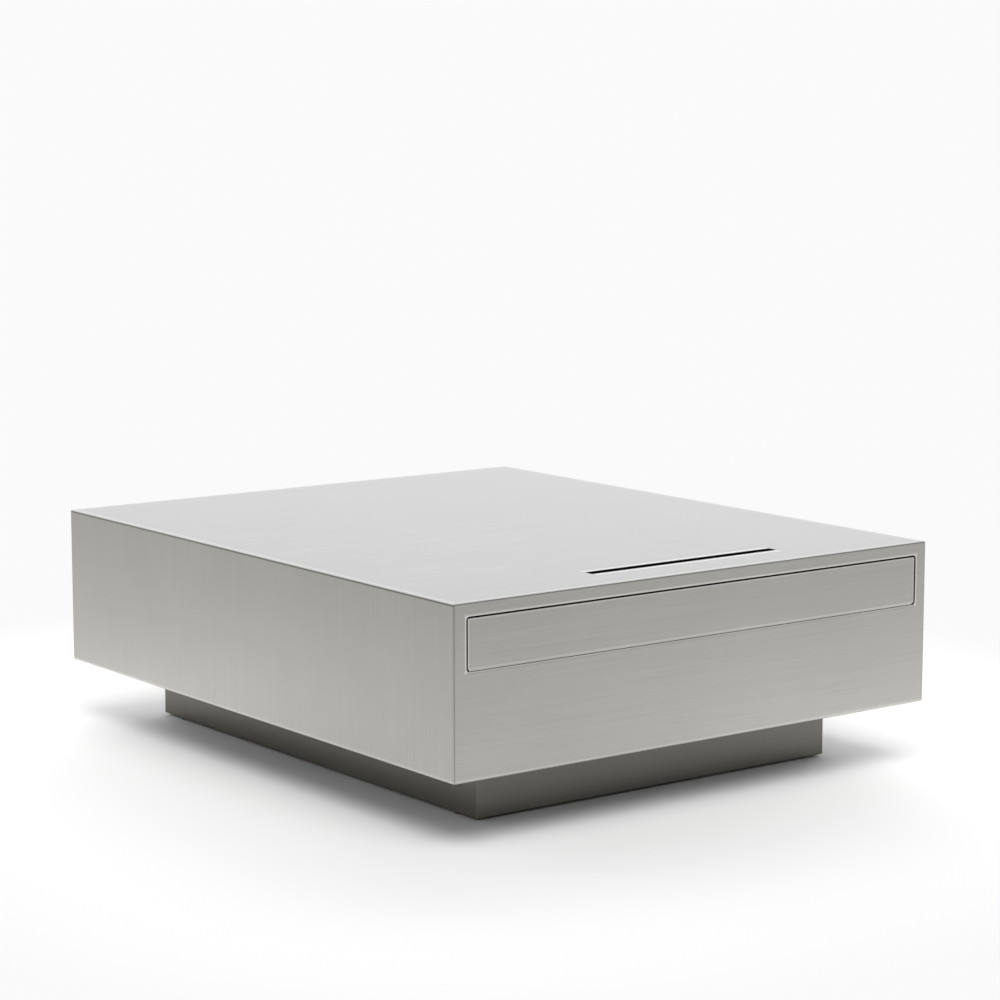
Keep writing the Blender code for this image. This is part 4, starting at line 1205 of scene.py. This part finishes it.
@dataclass
class Studio:
    """Pale floor, soft light and the camera."""

    pale: float = 0.956
    dim: float = 0.70
    dim_start: Point = (0.12, 0.22)
    dim_end: Point = (0.45, 0.8)
    ahead: Point = (0.6, 0.8, 0.0)
    backdrop: Point = (0.45, 0.85)
    sky_low: float = 0.06
    sky_high: float = 0.44
    windows: Sequence[tuple[Point, float]] = (((0.71, 0.71, 0.0), 6.4), ((-0.26, 0.97, 0.0), 2.2))
    window_edge: Point = (0.6, 0.98)
    key: float = 1.80
    key_way: Point = (-0.12, -0.30, 0.94)
    key_width: float = 54.0
    floor_colour: Colour = (0.885, 0.885, 0.885)
    floor_reach: float = 30.0
    footprint: Point = (0.5, 0.6, 0.0)
    lit_reach: Point = (0.12, 0.9)
    lens: float = 103.8
    sensor: float = 36
    view_reach: float = 200
    camera_place: Point = (-3.0096, -4.067, 1.1692)
    camera_turn: Point = (81.6266, 0.0, -36.8387)

    def build(self) -> None:
        """Set up floor, light and camera."""
        self.lay_floor()
        self.light_world()
        self.hang_key()
        self.place_camera()

    def lay_floor(self) -> None:
        """Lay a floor that is lit near the table and plain pale far from it."""
        deselect()
        bpy.ops.mesh.primitive_circle_add(vertices=96, radius=self.floor_reach, fill_type="NGON")
        floor = settle(bpy.context.object, "studio_floor")
        material = bpy.data.materials.new("studio_floor")
        material.use_nodes = True
        wiring = Wiring(material.node_tree)
        material.node_tree.nodes.clear()
        reach = wiring.vector("ABSOLUTE", wiring.node("TexCoord").outputs["Object"])
        outside = wiring.vector("MAXIMUM", wiring.vector("SUBTRACT", reach, self.footprint), (0, 0, 0))
        plainness = wiring.rise(wiring.vector("LENGTH", outside), *self.lit_reach)
        lit = wiring.node("BsdfDiffuse", {"Color": (*self.floor_colour, 1)})
        plain = wiring.node("Emission", {"Color": (self.pale, self.pale, self.pale, 1)})
        mixed = wiring.node("MixShader", {0: plainness, 1: lit.outputs[0], 2: plain.outputs[0]})
        wiring.node("OutputMaterial", {"Surface": mixed.outputs[0]})
        floor.data.materials.append(material)
        log.info("studio floor")

    def light_world(self) -> None:
        """Light from above, with a pale background for the camera, gloss and glass.

        Metal also shows the dimmer studio above the pale background, except straight ahead, where the
        backdrop rises.
        """
        world = bpy.data.worlds.new("studio_world")
        bpy.context.scene.world = world
        world.use_nodes = True
        wiring = Wiring(world.node_tree)
        world.node_tree.nodes.clear()
        way = wiring.node("TexCoord").outputs["Generated"]
        height = wiring.split(way)[2]
        below = wiring.math("SUBTRACT", 1.0, wiring.rise(height, *self.dim_end))
        band = wiring.math("MULTIPLY", wiring.rise(height, *self.dim_start), below)
        aside = wiring.math("SUBTRACT", 1.0, wiring.rise(wiring.vector("DOT_PRODUCT", way, self.ahead),
                                                         *self.backdrop))
        dimmed = wiring.math("MULTIPLY", band, aside)
        shown = wiring.math("MULTIPLY_ADD", dimmed, self.dim - self.pale, self.pale)
        sky = wiring.math("MULTIPLY_ADD", wiring.clamp(height), self.sky_high - self.sky_low, self.sky_low)
        for window_way, strength in self.windows:
            facing = wiring.vector("DOT_PRODUCT", way, window_way)
            sky = wiring.math("MULTIPLY_ADD", wiring.rise(facing, *self.window_edge), strength, sky)
        path = wiring.node("LightPath").outputs
        seen = wiring.chain("MAXIMUM", path["Is Camera Ray"], path["Is Glossy Ray"],
                            path["Is Transmission Ray"])
        light = wiring.node("Background", {"Color": (1, 1, 1, 1), "Strength": sky})
        background = wiring.node("Background", {"Color": (1, 1, 1, 1), "Strength": shown})
        mixed = wiring.node("MixShader", {0: seen, 1: light.outputs[0], 2: background.outputs[0]})
        wiring.node("OutputWorld", {"Surface": mixed.outputs[0]})
        log.info("studio world")

    def hang_key(self) -> None:
        """Hang the broad main light."""
        light = bpy.data.lights.new("key_light", "SUN")
        light.energy = self.key
        light.angle = radians(self.key_width)
        key = bpy.data.objects.new("key_light", light)
        key.rotation_euler = Vector(self.key_way).to_track_quat("Z", "Y").to_euler()
        bpy.context.scene.collection.objects.link(key)
        log.info("key light")

    def place_camera(self) -> None:
        """Place the camera at the photograph's angle."""
        data = bpy.data.cameras.new("camera")
        data.lens = self.lens
        data.sensor_width = self.sensor
        data.clip_end = self.view_reach
        camera = bpy.data.objects.new("camera", data)
        camera.location = self.camera_place
        camera.rotation_euler = [radians(angle) for angle in self.camera_turn]
        bpy.context.scene.collection.objects.link(camera)
        bpy.context.scene.camera = camera
        log.info("camera")


def main() -> None:
    """Build the table and the studio."""
    bpy.context.scene.view_settings.view_transform = "Standard"
    palette = Palette()
    palette.mix()
    for assembly in (Casing(palette), Drawer(palette), Runners(palette), Latches(palette), Plinth(palette),
                     Studio()):
        log.info("building the %s", type(assembly).__name__.lower())
        assembly.build()
    deselect()


if __name__ == "__main__":
    main()
